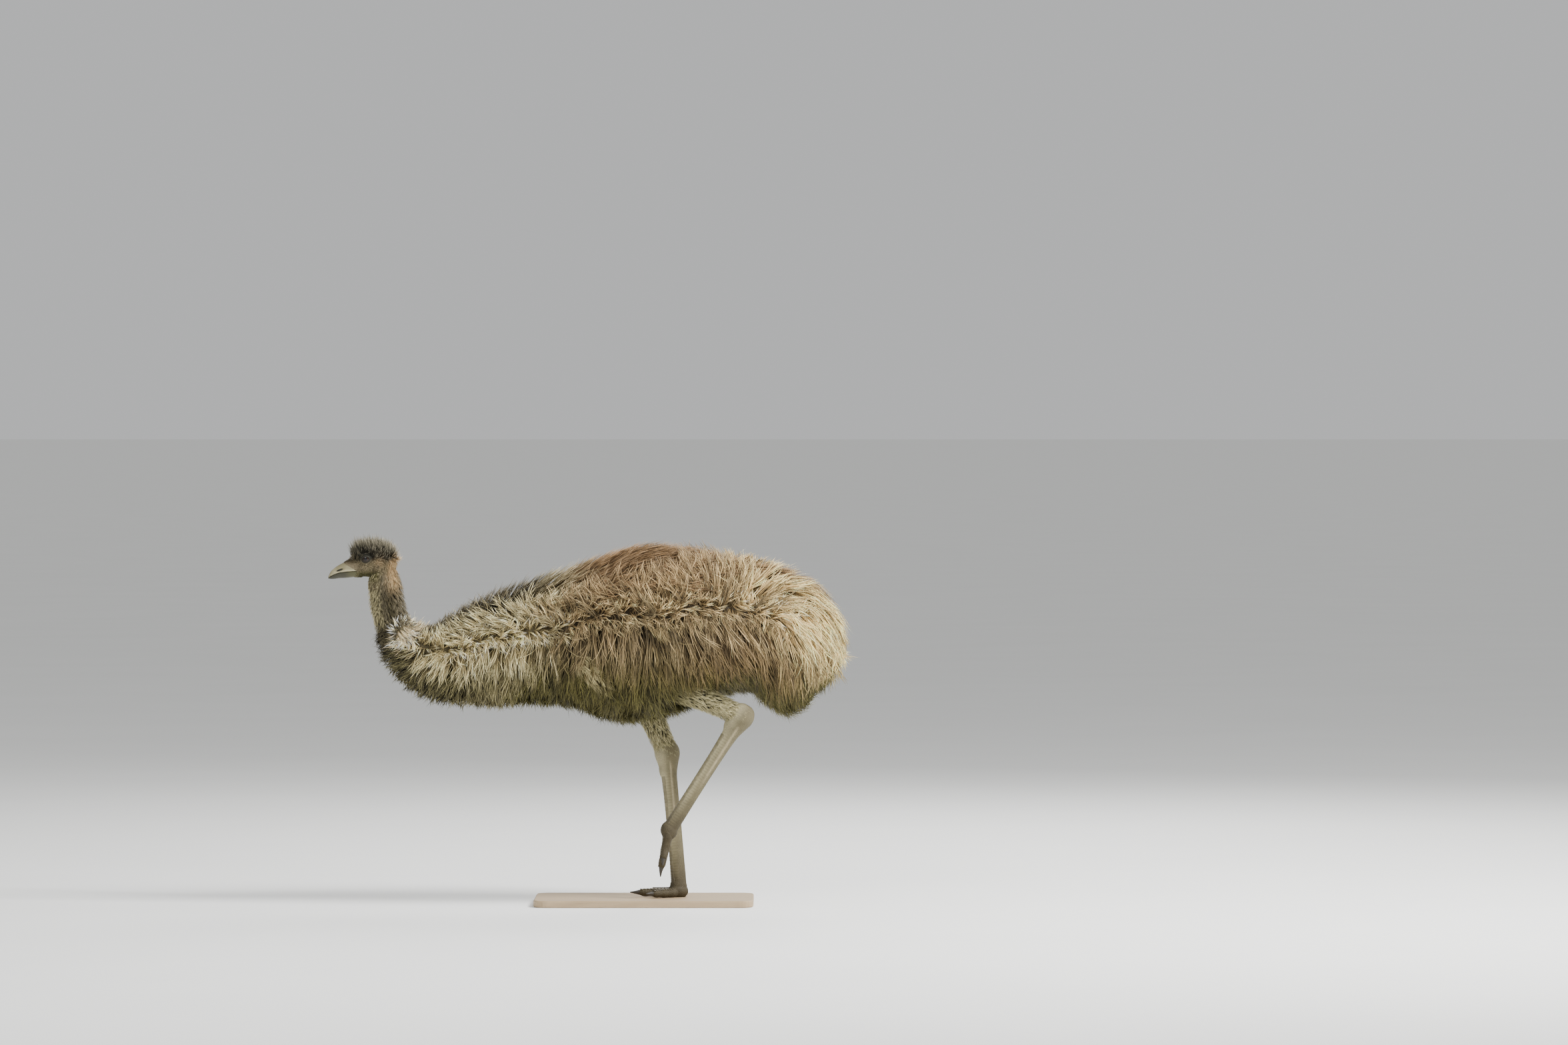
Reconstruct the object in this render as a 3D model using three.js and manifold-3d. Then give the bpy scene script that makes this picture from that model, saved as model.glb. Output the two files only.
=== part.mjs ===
// A life-size adult emu in mid stride, its head carried low in front of it. The right foot stands on
// the ground and the left leg swings past it.
//
// Millimetres, +Z up. The bird faces -X, so its left side faces -Y, and the plane y = 0 halves its body.
// The bird's own sizes below are measured from a point on the ground under the ball of its standing
// foot. The model's origin is the middle of the underside of the base that it stands on.
import * as THREE from "three";
import { mergeVertices } from "three/addons/utils/BufferGeometryUtils.js";
import Module from "manifold-3d";

const wasm = await Module();
wasm.setup();

const GAP = 0.3; // kept between neighbouring pieces

// The body is one tube from the head to the rump. Each station: x and z of its axis, then how far the
// coat's outline lies above, below and beside the axis, and how deep the coat is there.
const BODY = [
  { name: "skull", x: -862, z: 980, up: 36, down: 30, side: 28, coat: 8 },
  { name: "head end", x: -857, z: 930, up: 47, down: 48, side: 37, coat: 12 },
  { name: "throat", x: -853, z: 862, up: 50, down: 50, side: 39, coat: 14 },
  { name: "upper bend", x: -833, z: 796, up: 52, down: 54, side: 46, coat: 20 },
  { name: "bend", x: -794, z: 737, up: 62, down: 80, side: 60, coat: 32 },
  { name: "lower bend", x: -731, z: 704, up: 82, down: 112, side: 76, coat: 44 },
  { name: "low neck", x: -653, z: 700, up: 110, down: 134, side: 90, coat: 52 },
  { name: "mid neck", x: -556, z: 722, up: 136, down: 160, side: 108, coat: 58 },
  { name: "neck root", x: -448, z: 748, up: 158, down: 178, side: 132, coat: 62 },
  { name: "chest", x: -322, z: 768, up: 186, down: 206, side: 160, coat: 64 },
  { name: "shoulder", x: -205, z: 780, up: 219, down: 252, side: 188, coat: 66 },
  { name: "midriff", x: -88, z: 786, up: 245, down: 254, side: 206, coat: 68 },
  { name: "hip", x: 29, z: 796, up: 229, down: 228, side: 212, coat: 70 },
  { name: "loin", x: 146, z: 800, up: 196, down: 194, side: 206, coat: 72 },
  { name: "rump", x: 263, z: 790, up: 178, down: 176, side: 184, coat: 76 },
  { name: "tail root", x: 345, z: 758, up: 168, down: 196, side: 152, coat: 80 },
  { name: "tail", x: 409, z: 736, up: 134, down: 178, side: 112, coat: 70 },
  { name: "tail end", x: 450, z: 720, up: 84, down: 130, side: 66, coat: 50 },
  { name: "tail tip", x: 470, z: 710, up: 34, down: 60, side: 26, coat: 20 },
];
const PINCH = 0.1; // how much narrower the body is above its axis than below it
const CORE_SIDES = 14;

// Feathered head without its crest, from the back of the skull to the root of the bill.
const HEAD = [
  { x: -822, z: 976, up: 10, down: 12, side: 9 },
  { x: -832, z: 976, up: 30, down: 30, side: 22 },
  { x: -852, z: 976, up: 43, down: 42, side: 31 },
  { x: -880, z: 975, up: 49, down: 42, side: 34 },
  { x: -905, z: 972, up: 45, down: 38, side: 32 },
  { x: -926, z: 968, up: 36, down: 33, side: 26 },
  { x: -946, z: 966, up: 26, down: 28, side: 17 },
  { x: -962, z: 968, up: 16, down: 12, side: 10 },
  { x: -971, z: 972, up: 6, down: 5, side: 4 },
];
// The two halves of the bill meet at the mouth line. Each station: x and z of that line, the upper
// half's height, the lower half's depth and the half width.
const BILL = [
  { x: -922, z: 954, up: 27, down: 15, side: 21 },
  { x: -945, z: 953, up: 29, down: 16, side: 21 },
  { x: -969, z: 951.5, up: 26, down: 17, side: 19 },
  { x: -986, z: 949, up: 21, down: 15, side: 16 },
  { x: -1001, z: 944, up: 16, down: 12, side: 12 },
  { x: -1013, z: 938.5, up: 10.5, down: 7, side: 8 },
  { x: -1019, z: 935, up: 5, down: 4, side: 4 },
];
const MOUTH_CUT = 0.8; // thickness of either half of the bill beyond the mouth line
const NOSTRIL = { x: -981, y: 15.5, z: 961, length: 13, height: 4, depth: 2.4 };
const EYE = { x: -908, y: 20, z: 990, radius: 14 };
const LID = { y: 29.5, radius: 10.5, thickness: 2.4 };
const EAR = { x: -874, y: 33, z: 966, radius: 5.5, rim: 1.6, depth: 5 };

// The coat's long feathers hang together in flat, tapered locks over a core, which leaves them this
// share of the coat's depth. Sizes are at the widest place of the body, and thinner places have smaller
// locks.
const COAT = { core: 0.55, sunk: 12, rise: 0.55, thick: 0.19, widest: 212, shrink: 0.3, seed: 11 };
const SWELL = [0.4, 1, 0.62]; // a lock's width from its root on, as a share of the greatest
// How far a lock's edges, back, underside and ends move out for each millimetre that it is grown. They
// slant and twist, so that they move further than the gap they leave.
const GROWTH = { edge: 9, back: 2, below: 1.5, ends: 6 };
const CUT_MARGIN = 0.2; // how far, in stations, the roots of locks stay from a cut of the body
// Each row of locks runs along the body between two stations, at angle phi in degrees on either side.
// lie is the way its locks point: 0 is back along the body, 90 down its side and -90 up. turn adds to
// lie with each station from the hip on, and curl along the lock. tip is how far the tips stand out of
// the outline, and droop how far they sag.
const ROWS = [
  { phi: 0, from: 4.4, to: 6, step: 125, lie: 0, length: 140, width: 74, tip: 6 },
  { phi: 60, from: 3.6, to: 5.8, step: 150, lie: -96, curl: -24, length: 104, width: 84, tip: 9 },
  { phi: 94, from: 3.5, to: 6, step: 126, lie: 98, length: 150, width: 98, tip: 2 },
  { phi: 144, from: 3.7, to: 6, step: 126, lie: 92, length: 120, width: 88, tip: 6, droop: 10 },
  { phi: 0, from: 6.0, to: 8.1, step: 96, lie: 0, length: 150, width: 74, tip: 14 },
  { phi: 34, from: 6.3, to: 8.1, step: 112, lie: 4, length: 150, width: 72, tip: 12 },
  { phi: 68, from: 6.1, to: 8.4, step: 112, lie: -100, curl: -24, length: 104, width: 70, tip: 9 },
  { phi: 86, from: 6.0, to: 8.4, step: 108, lie: 98, length: 160, width: 84, tip: 2 },
  { phi: 124, from: 6.2, to: 8.3, step: 112, lie: 98, length: 125, width: 80, tip: 2 },
  { phi: 161, from: 6.1, to: 8.3, step: 124, lie: 40, length: 92, width: 72, tip: 5, droop: 10 },
  { phi: 0, from: 8.5, to: 16.7, step: 118, lie: 0, length: 200, width: 70, tip: 5, droop: 6 },
  { phi: 22, from: 8.7, to: 13.9, step: 124, lie: 4, length: 205, width: 70, tip: 5 },
  { phi: 44, from: 8.5, to: 13.6, step: 120, lie: 10, length: 195, width: 70, tip: 2 },
  { phi: 66, from: 8.9, to: 13.7, step: 98, lie: -104, turn: 14, curl: -24, length: 124, width: 68, tip: 9 },
  { phi: 81, from: 8.6, to: 14.0, step: 98, lie: 88, turn: -8, length: 195, width: 84, tip: 2 },
  { phi: 108, from: 8.9, to: 13.6, step: 98, lie: 86, turn: -8, length: 170, width: 82, tip: 1 },
  { phi: 137, from: 8.6, to: 13.4, step: 114, lie: 70, turn: -7, length: 114, width: 76, tip: 2, droop: 14 },
  { phi: 165, from: 8.8, to: 13.2, step: 128, lie: 10, length: 112, width: 72, tip: 2, droop: 12 },
  { phi: 29, from: 14.0, to: 17.0, step: 128, lie: 4, turn: 7, length: 185, width: 76, tip: 2, droop: 16 },
  { phi: 57, from: 13.8, to: 17.2, step: 134, lie: 16, turn: 9, length: 195, width: 78, tip: 4, droop: 10 },
  { phi: 86, from: 14.1, to: 17.2, step: 132, lie: 46, turn: 6, length: 195, width: 80, tip: 4, droop: 14 },
  { phi: 117, from: 13.9, to: 17.0, step: 130, lie: 50, turn: 5, length: 165, width: 78, tip: 3, droop: 14 },
  { phi: 153, from: 14.1, to: 16.8, step: 130, lie: 10, turn: 4, length: 105, width: 72, tip: 2, droop: 8 },
];
const HIP = 12;
// The bristles of the crest, in rows over the skull, and the feathers of each wing.
const CREST = {
  phis: [-38, 0, 38],
  from: 2.1,
  to: 7.3,
  step: 25,
  swell: [0.9, 0.7],
  look: { lie: 0, curl: 0, length: 37, width: 15, tip: 25, droop: 0 },
};
const QUILLS = {
  phis: [-35, 35],
  from: 0.9,
  to: 3.6,
  step: 70,
  swell: [0.6, 1, 0.7],
  look: { lie: 0, curl: 0, length: 74, width: 24, tip: 5, droop: 4 },
};

// Each small wing lies against the chest, under the coat. Its line follows the body from station n and
// angle phi in degrees, and each station has the wing's thickness and width.
const WING = [
  { n: 8.95, phi: 97, out: -38, thick: 12, wide: 18 },
  { n: 9.25, phi: 109, out: -30, thick: 14, wide: 22 },
  { n: 9.6, phi: 121, out: -22, thick: 14, wide: 21 },
  { n: 9.9, phi: 131, out: -14, thick: 11, wide: 16 },
  { n: 10.1, phi: 138, out: -8, thick: 5, wide: 8 },
];

// Each leg: its joints, right and left. The ball is the joint that carries the toes.
const LEGS = {
  right: {
    knee: [-185, 94, 780],
    hock: [-29, 56, 421],
    ball: [6, 0, 38],
    calf: [
      { t: 0, thick: 64 },
      { t: 0.3, thick: 60 },
      { t: 0.6, thick: 46 },
      { t: 0.8, thick: 36 },
      { t: 0.95, thick: 34 },
    ],
  },
  left: {
    knee: [-150, -92, 692],
    hock: [191, -104, 534],
    ball: [-21, -84, 200],
    calf: [
      { t: 0, thick: 58 },
      { t: 0.3, thick: 54 },
      { t: 0.52, thick: 44 },
      { t: 0.75, thick: 35 },
      { t: 0.93, thick: 33 },
    ],
  },
};

// The bare shank. t runs from the hock to the ball of the foot, and the scutes cover the front of the
// lower part, which tapers on to SHANK_END.
const SHANK = [
  { t: -0.09, deep: 13, wide: 10 },
  { t: -0.07, deep: 26, wide: 20 },
  { t: -0.03, deep: 35, wide: 27 },
  { t: 0.02, deep: 37, wide: 29 },
  { t: 0.08, deep: 31, wide: 25 },
  { t: 0.16, deep: 24, wide: 19.5 },
  { t: 0.3, deep: 21, wide: 17 },
  { t: 0.48, deep: 20, wide: 16 },
];
const SHANK_END = { t: 1, deep: 22, wide: 21 };
const SCUTES = { count: 8, height: 2 };
// Toes spread from the ball of the foot. apart is how far the side toes' roots lie from the middle one's,
// and splay is in degrees.
const TOE = { thick: 15, taper: 0.72, scutes: 4, apart: 13 };
const CLAW = { root: 9, tip: 2.2, sunk: 2 };
const FOOT = {
  inner: { length: 78, splay: -33, claw: 22 },
  middle: { length: 104, splay: 0, claw: 27 },
  outer: { length: 80, splay: 33, claw: 22 },
};
const FEET = {
  right: { pad: [4, 0, 17], radii: [30, 29, 24], toesAt: 10, toeHeight: 13 },
  left: { pad: LEGS.left.ball, radii: [27, 27, 30], toesAt: 8, hang: [-0.2, 0, -0.98], fold: 0.45 },
};
// The base that keeps the bird from tipping over its one foot. x is the base's middle.
const BASE = { x: -95, length: 640, width: 360, thick: 20, corner: 40, bevel: 3 };

// Vectors and smooth tubes.

const vec = (...at) => new THREE.Vector3(...at);
const mix = (a, b, s) => a + (b - a) * s;

// A tube with an oval section that changes along a smooth line. Above its axis the section reaches up,
// below it down, and side to either side. across is the way to its right-hand side, where phi is 90
// degrees; phi is 0 along its back.
class Tube {
  constructor(stations, across = vec(0, 1, 0), pinch = 0) {
    this.across = across;
    this.pinch = pinch;
    this.line = new THREE.CatmullRomCurve3(stations.map((s) => s.at));
    this.sizes = new THREE.CatmullRomCurve3(
      stations.map((s) => vec(s.up, s.down, s.side)),
      false,
      "catmullrom",
      0.5,
    );
    this.last = stations.length - 1;
  }

  // Axes of the section at station number n, which may lie between two stations.
  section(n) {
    const t = THREE.MathUtils.clamp(n / this.last, 0, 1);
    const along = this.line.getTangent(t);
    const up = vec().crossVectors(along, this.across).normalize();
    const side = vec().crossVectors(up, along).normalize();
    return { centre: this.line.getPoint(t), along, up, side, sizes: this.sizes.getPoint(t) };
  }

  // The point at angle phi, out millimetres outside the outline, shifted along the axis if asked.
  point(n, phi, out = 0, shift = 0) {
    const { centre, along, up, side, sizes } = this.section(n);
    const c = Math.cos(phi);
    const high = Math.max((c > 0 ? sizes.x : sizes.y) + out, 0.5);
    const wide = Math.max(sizes.z * (1 - this.pinch * c) + out, 0.5);
    return centre
      .addScaledVector(up, high * c)
      .addScaledVector(side, wide * Math.sin(phi))
      .addScaledVector(along, shift);
  }

  // The closed solid between two stations, with flat ends moved in by half a gap.
  solid(from, to, { rings, sides, out = 0, ends = -GAP / 2 }) {
    const outAt = typeof out === "function" ? out : () => out;
    const loops = [];
    for (let i = 0; i <= rings; i++) {
      const n = mix(from, to, i / rings);
      const shift = i === 0 ? -ends : i === rings ? ends : 0;
      const loop = [];
      for (let k = 0; k < sides; k++) {
        const phi = (2 * Math.PI * k) / sides;
        loop.push(this.point(n, phi, outAt(n), shift));
      }
      loops.push(loop);
    }
    return skin(loops);
  }
}

// The closed solid whose surface joins loops of equally many points, with a fan at either end.
function skin(loops) {
  const sides = loops[0].length;
  const points = loops.flat();
  const middle = (loop) =>
    loop.reduce((sum, p) => sum.add(p), vec()).divideScalar(loop.length);
  const first = points.push(middle(loops[0])) - 1;
  const last = points.push(middle(loops.at(-1))) - 1;
  const faces = [];
  for (let k = 0; k < sides; k++) {
    const next = (k + 1) % sides;
    const end = (loops.length - 1) * sides;
    faces.push([first, next, k], [last, end + k, end + next]);
    for (let i = 0; i < loops.length - 1; i++) {
      const a = i * sides;
      const b = a + sides;
      faces.push([a + k, a + next, b + next], [a + k, b + next, b + k]);
    }
  }
  return solidOf(points, faces);
}

// A solid for cutting and joining, with its faces turned outwards.
function solidOf(points, faces) {
  const vertProperties = new Float32Array(points.flatMap((p) => [p.x, p.y, p.z]));
  const make = (turned) =>
    new wasm.Manifold(
      new wasm.Mesh({
        numProp: 3,
        vertProperties,
        triVerts: new Uint32Array(turned.flat()),
      }),
    );
  const made = make(faces);
  return made.volume() > 0 ? made : make(faces.map(([a, b, c]) => [a, c, b]));
}

// A solid from a three.js geometry.
function solidFrom(geometry) {
  const bare = geometry.clone();
  bare.deleteAttribute("normal");
  bare.deleteAttribute("uv");
  const merged = mergeVertices(bare, 1e-3);
  return new wasm.Manifold(
    new wasm.Mesh({
      numProp: 3,
      vertProperties: new Float32Array(merged.attributes.position.array),
      triVerts: new Uint32Array(merged.index.array),
    }),
  );
}

const union = (solids) => wasm.Manifold.union(solids);
const largest = (solid) =>
  solid.decompose().reduce((a, b) => (a.volume() > b.volume() ? a : b));
const ball = (at, radii, sides = 12) =>
  solidFrom(
    new THREE.SphereGeometry(1, sides, Math.round(sides * 0.6))
      .scale(...radii)
      .translate(...at),
  );

// The body, by station number.

const station = (name) => BODY.findIndex((s) => s.name === name);
const body = new Tube(
  BODY.map((s) => ({ ...s, at: vec(s.x, 0, s.z) })),
  vec(0, 1, 0),
  PINCH,
);
const CUTS = {
  head: station("head end"),
  neck_upper: station("upper bend") + 0.3,
  neck_middle: station("low neck"),
  neck_lower: station("neck root") + 0.5,
  torso: station("rump") - 0.2,
  tail: station("tail tip"),
};
const coatDepth = (n) => {
  const i = Math.min(Math.floor(n), BODY.length - 2);
  return mix(BODY[i].coat, BODY[i + 1].coat, n - i);
};
// How far out the core's surface lies. The short coat of the head and upper neck has no locks.
const coreOut = (n) =>
  -COAT.core * coatDepth(n) * THREE.MathUtils.smoothstep(n, CUTS.neck_upper, CUTS.neck_upper + 0.7);
const bodyCore = (from, to, rings, grow = 0) =>
  body.solid(from, to, {
    rings,
    sides: CORE_SIDES,
    out: (n) => coreOut(n) + grow,
    ends: grow - GAP / 2,
  });

// Locks.

let draw = COAT.seed;
// The next random number between -1 and 1.
function random() {
  draw = (draw * 1664525 + 1013904223) % 4294967296;
  return draw / 2147483648 - 1;
}

// How fast a point on a tube moves with n and with phi, in millimetres.
function speed(tube, n, phi, out) {
  const here = tube.point(n, phi, out);
  const back = tube.point(n - 0.05, phi, out);
  const round = tube.point(n, phi + 0.02, out);
  return {
    along: Math.max(here.distanceTo(back) / 0.05, 15),
    around: Math.max(here.distanceTo(round) / 0.02, 15),
  };
}

// The middle line of a lock on a tube, and the ways out of the body along it.
function lockPath(lock, pieces) {
  const { tube, root } = lock;
  const line = [];
  let { n, phi } = lock;
  for (let i = 0; i <= pieces; i++) {
    const s = i / pieces;
    const here = Math.min(n, tube.last);
    const out = mix(root(here), lock.tip, s ** COAT.rise);
    const rate = speed(tube, here, phi, out);
    const past = (n - here) * rate.along;
    const at = tube.point(here, phi, out, past);
    const outwards = tube.point(here, phi, out + 5, past).sub(at).normalize();
    at.z -= lock.droop * s * s;
    line.push({ at, outwards, bare: out > root(here) + COAT.sunk });
    const way = THREE.MathUtils.degToRad(lock.lie + lock.curl * s);
    const stride = lock.length / pieces;
    n += (Math.cos(way) * stride) / rate.along;
    phi += (lock.side * Math.sin(way) * stride) / rate.around;
  }
  return line;
}

// A flat, tapered, bending lock with a ridge along its back. swell is its width along the way.
function lockSolid(lock, grow = 0, swell = SWELL) {
  const line = lockPath(lock, swell.length);
  const loops = swell.map((share, i) => {
    const { at, outwards } = line[i];
    const along = line[i + 1].at.clone().sub(line[Math.max(i - 1, 0)].at).normalize();
    const aside = vec().crossVectors(along, outwards).normalize();
    const up = vec().crossVectors(aside, along).normalize();
    const wide = (lock.width * share) / 2 + GROWTH.edge * grow;
    const thick = lock.width * COAT.thick * share + GROWTH.back * grow;
    const middle = at.clone().addScaledVector(along, i === 0 ? -GROWTH.ends * grow : 0);
    const below = middle.clone().addScaledVector(up, -GROWTH.below * grow);
    return [
      below.clone().addScaledVector(aside, wide),
      middle.addScaledVector(up, thick),
      below.addScaledVector(aside, -wide),
    ];
  });
  const tip = line.at(-1).at.clone();
  tip.addScaledVector(tip.clone().sub(line.at(-2).at).normalize(), GROWTH.ends * grow);
  return pointed(loops, tip);
}

// The closed solid that joins loops of three points and ends in a tip.
function pointed(loops, tip) {
  const points = [...loops.flat(), tip];
  const end = points.length - 4;
  const faces = [[0, 1, 2]];
  for (let k = 0; k < 3; k++) {
    const next = (k + 1) % 3;
    for (let i = 0; i < end; i += 3) {
      faces.push([i + k, i + 3 + k, i + 3 + next], [i + k, i + 3 + next, i + next]);
    }
    faces.push([end + k, points.length - 1, end + next]);
  }
  return solidOf(points, faces);
}

const wave = (n, shift) => Math.sin(2.3 * n + 1.7 * shift);

// What the coat keeps clear of: balls along the wings and the feathered part of the legs.
function obstacles() {
  const balls = [];
  for (const side of [-1, 1]) {
    const { line, sizes } = wingTube(side);
    for (let t = 0.35; t <= 1; t += 0.1) balls.push({ at: line.getPoint(t), r: sizes.getPoint(t).z + 4 });
    const past = line.getPoint(1).addScaledVector(line.getTangent(1), QUILLS.look.length / 3);
    balls.push({ at: past, r: QUILLS.look.width });
  }
  for (const leg of Object.values(LEGS)) {
    const { line, sizes } = calfTube(leg);
    for (let t = 0; t <= 1; t += 0.1) balls.push({ at: line.getPoint(t), r: sizes.getPoint(t).z + 1 });
  }
  return balls;
}

// Ends a lock before it runs into a wing or leg. One with no room to grow is dropped.
function clearOf(balls, lock) {
  const line = lockPath(lock, 12);
  const hit = line.findIndex(
    ({ at, bare }) => bare && balls.some((q) => q.at.distanceTo(at) < q.r),
  );
  if (hit >= 0) lock.length *= (hit - 1) / 12;
  return hit < 0 || hit > 5;
}

// The station moved away from the nearest cut of the body, on its own side of it.
function awayFromCuts(n) {
  const cut = Object.values(CUTS).find((c) => Math.abs(n - c) < CUT_MARGIN);
  if (cut === undefined) return n;
  return n < cut ? cut - CUT_MARGIN : cut + CUT_MARGIN;
}

// The locks of all rows, each with its own small differences.
function growLocks() {
  const locks = [];
  const balls = obstacles();
  ROWS.forEach((row, index) => {
    const sides = row.phi % 180 ? [-1, 1] : [1];
    for (const side of sides) {
      let n = row.from;
      while (n < row.to) {
        const girth = body.section(n).sizes.z / COAT.widest;
        const size = girth ** COAT.shrink;
        const phi = side * THREE.MathUtils.degToRad(row.phi + 3 * random());
        const lock = {
          tube: body,
          root: (m) => coreOut(m) - COAT.sunk,
          n: awayFromCuts(n),
          phi,
          side,
          lie: row.lie + (row.turn ?? 0) * Math.max(n - HIP, 0) + 7 * wave(n, index) + 2 * random(),
          curl: (row.curl ?? 0) + 14 * wave(1.7 * n, index + side) + 3 * random(),
          length: row.length * size * (1 + 0.14 * random()),
          width: row.width * size * (1 + 0.08 * random()),
          tip: row.tip + 4 * random(),
          droop: (row.droop ?? 0) * size,
        };
        if (clearOf(balls, lock)) locks.push(lock);
        n += ((row.step * size) / speed(body, n, phi, 0).along) * (1 + 0.12 * random());
      }
    }
  });
  return locks;
}

// Rows of small locks on a tube, seeded like the rest.
function tufts(tube, { phis, from, to, step, swell, look }) {
  const solids = { bare: [], grown: [] };
  phis.forEach((degrees, index) => {
    const phi = THREE.MathUtils.degToRad(degrees);
    const rate = speed(tube, (from + to) / 2, phi, 0).along;
    for (let n = from + (index % 2) * 0.5 * (step / rate); n < to; n += step / rate) {
      const lock = {
        ...look,
        tube,
        root: () => -4,
        n,
        phi: phi + 0.08 * random(),
        side: 1,
        lie: look.lie + 12 * random(),
        curl: look.curl + 14 * random(),
        length: look.length * (1 + 0.2 * random()),
        tip: look.tip * (1 + 0.2 * random()),
      };
      solids.bare.push(lockSolid(lock, 0, swell));
      solids.grown.push(lockSolid(lock, GAP, swell));
    }
  });
  return { bare: union(solids.bare), grown: union(solids.grown) };
}

function wingTube(side) {
  const at = WING.map((s) => body.point(s.n, side * THREE.MathUtils.degToRad(s.phi), s.out));
  const along = at.at(-1).clone().sub(at[0]).normalize();
  const across = vec().crossVectors(vec(0, side, 0), along).normalize();
  return new Tube(
    WING.map((s, i) => ({ at: at[i], up: s.thick, down: s.thick, side: s.wide })),
    across,
  );
}

const wing = (side, grow = 0) =>
  wingTube(side).solid(0, WING.length - 1, { rings: 6, sides: 10, out: grow, ends: grow });

// The head, its bill and eyes.

const sideways = vec(0, 1, 0);
const headTube = new Tube(
  HEAD.map((s) => ({ ...s, at: vec(s.x, 0, s.z) })).reverse(),
  sideways,
);
// half is 1 for the upper half of the bill and -1 for the lower one.
function billHalf(half, grow) {
  const stations = BILL.map((s) => ({
    up: half > 0 ? s.up : MOUTH_CUT,
    down: half > 0 ? MOUTH_CUT : s.down,
    side: s.side,
    at: vec(s.x, 0, s.z + half * (GAP / 2 + MOUTH_CUT)),
  }));
  const tube = new Tube(stations.reverse(), sideways);
  return tube.solid(0, tube.last, { rings: 9, sides: 12, out: grow, ends: grow });
}

function makeHead() {
  const parts = [
    headTube.solid(0, HEAD.length - 1, { rings: 12, sides: 16 }),
    tufts(headTube, CREST).bare,
    body.solid(0, CUTS.head, { rings: 2, sides: 14 }),
  ];
  const holes = [billHalf(1, GAP), billHalf(-1, GAP)];
  for (const side of [-1, 1]) {
    const lid = new THREE.TorusGeometry(LID.radius, LID.thickness, 4, 12)
      .rotateX(Math.PI / 2)
      .translate(EYE.x, side * LID.y, EYE.z);
    parts.push(solidFrom(lid));
    const rim = new THREE.TorusGeometry(EAR.radius, EAR.rim, 4, 8)
      .rotateX(Math.PI / 2)
      .translate(EAR.x, side * EAR.y, EAR.z);
    parts.push(solidFrom(rim));
    holes.push(ball([EYE.x, side * EYE.y, EYE.z], Array(3).fill(EYE.radius + GAP)));
    holes.push(ball([EAR.x, side * EAR.y, EAR.z], [EAR.radius - 1, EAR.depth, EAR.radius], 8));
  }
  return union(parts).subtract(union(holes));
}

function makeUpperBill() {
  const nostrils = [-1, 1].map((side) =>
    ball(
      [NOSTRIL.x, side * NOSTRIL.y, NOSTRIL.z],
      [NOSTRIL.length / 2, NOSTRIL.depth, NOSTRIL.height / 2],
      8,
    ),
  );
  return billHalf(1, 0).subtract(union(nostrils));
}

// The legs. The calf is feathered and ends just above the hock.

function limb(from, to, stations) {
  const a = vec(...from);
  const b = vec(...to);
  return new Tube(
    stations.map((s) => ({ ...s, at: a.clone().lerp(b, s.t) })),
    sideways,
  );
}

// The feathered calf, slightly flattened from side to side.
const calfTube = (leg) =>
  limb(
    leg.knee,
    leg.hock,
    leg.calf.map(({ t, thick }) => ({ t, up: thick, down: thick, side: thick * 0.86 })),
  );
const calf = (leg, grow = 0) =>
  calfTube(leg).solid(0, leg.calf.length - 1, { rings: 7, sides: 14, out: grow, ends: grow });

// The bare shank, with a row of scutes down its front.
function shank(leg) {
  const stations = SHANK.map(({ t, deep, wide }) => ({ t, up: deep, down: deep, side: wide }));
  const top = SHANK.at(-1);
  for (let i = 1; i <= 2 * SCUTES.count; i++) {
    const share = i / (2 * SCUTES.count);
    const deep = mix(top.deep, SHANK_END.deep, share);
    stations.push({
      t: mix(top.t, SHANK_END.t, share),
      up: deep,
      down: deep + (i % 2) * SCUTES.height,
      side: mix(top.wide, SHANK_END.wide, share),
    });
  }
  const last = stations.length - 1;
  return limb(leg.hock, leg.ball, stations).solid(0, last, { rings: last, sides: 10, ends: 0 });
}

// A toe leaves the ball of the foot along way, with its sole down.
function toe(root, way, { length, claw }, grow = 0) {
  const tip = root.clone().addScaledVector(way, length);
  const stations = [];
  for (let i = 0; i <= 2 * TOE.scutes; i++) {
    const t = i / (2 * TOE.scutes);
    const r = TOE.thick * mix(1, TOE.taper, t);
    const up = r + (i % 2) * SCUTES.height;
    stations.push({ at: root.clone().lerp(tip, t), up, down: r, side: r });
  }
  const across = vec().crossVectors(vec(0, 0, 1), way).normalize();
  const level = across.lengthSq() > 0.1 ? across : sideways;
  const toeTube = new Tube(stations, level);
  const nail = new Tube(
    [0, 0.35, 0.7, 1].map((t) => {
      const r = mix(CLAW.root, CLAW.tip, t);
      const at = tip.clone().addScaledVector(way, mix(-CLAW.sunk, claw, t));
      return { at, up: r, down: r, side: r };
    }),
    level,
  );
  return {
    toe: toeTube.solid(0, toeTube.last, { rings: toeTube.last, sides: 8, out: grow, ends: grow }),
    claw: nail.solid(0, 3, { rings: 3, sides: 6, out: grow, ends: grow }),
  };
}

// Building and naming the nodes.

const look = (color, roughness) =>
  new THREE.MeshStandardMaterial({ color, roughness, metalness: 0 });
const LOOKS = {
  coat: look(0x6f5f49, 0.9),
  neckCoat: look(0x8a7c62, 0.9),
  headCoat: look(0x3d372d, 0.85),
  bill: look(0x6d6f66, 0.5),
  eye: look(0x241a10, 0.1),
  calf: look(0x8c7b60, 0.9),
  skin: look(0x6e6452, 0.7),
  claw: look(0x37322b, 0.5),
  base: look(0xb9a78a, 0.6),
};

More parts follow.
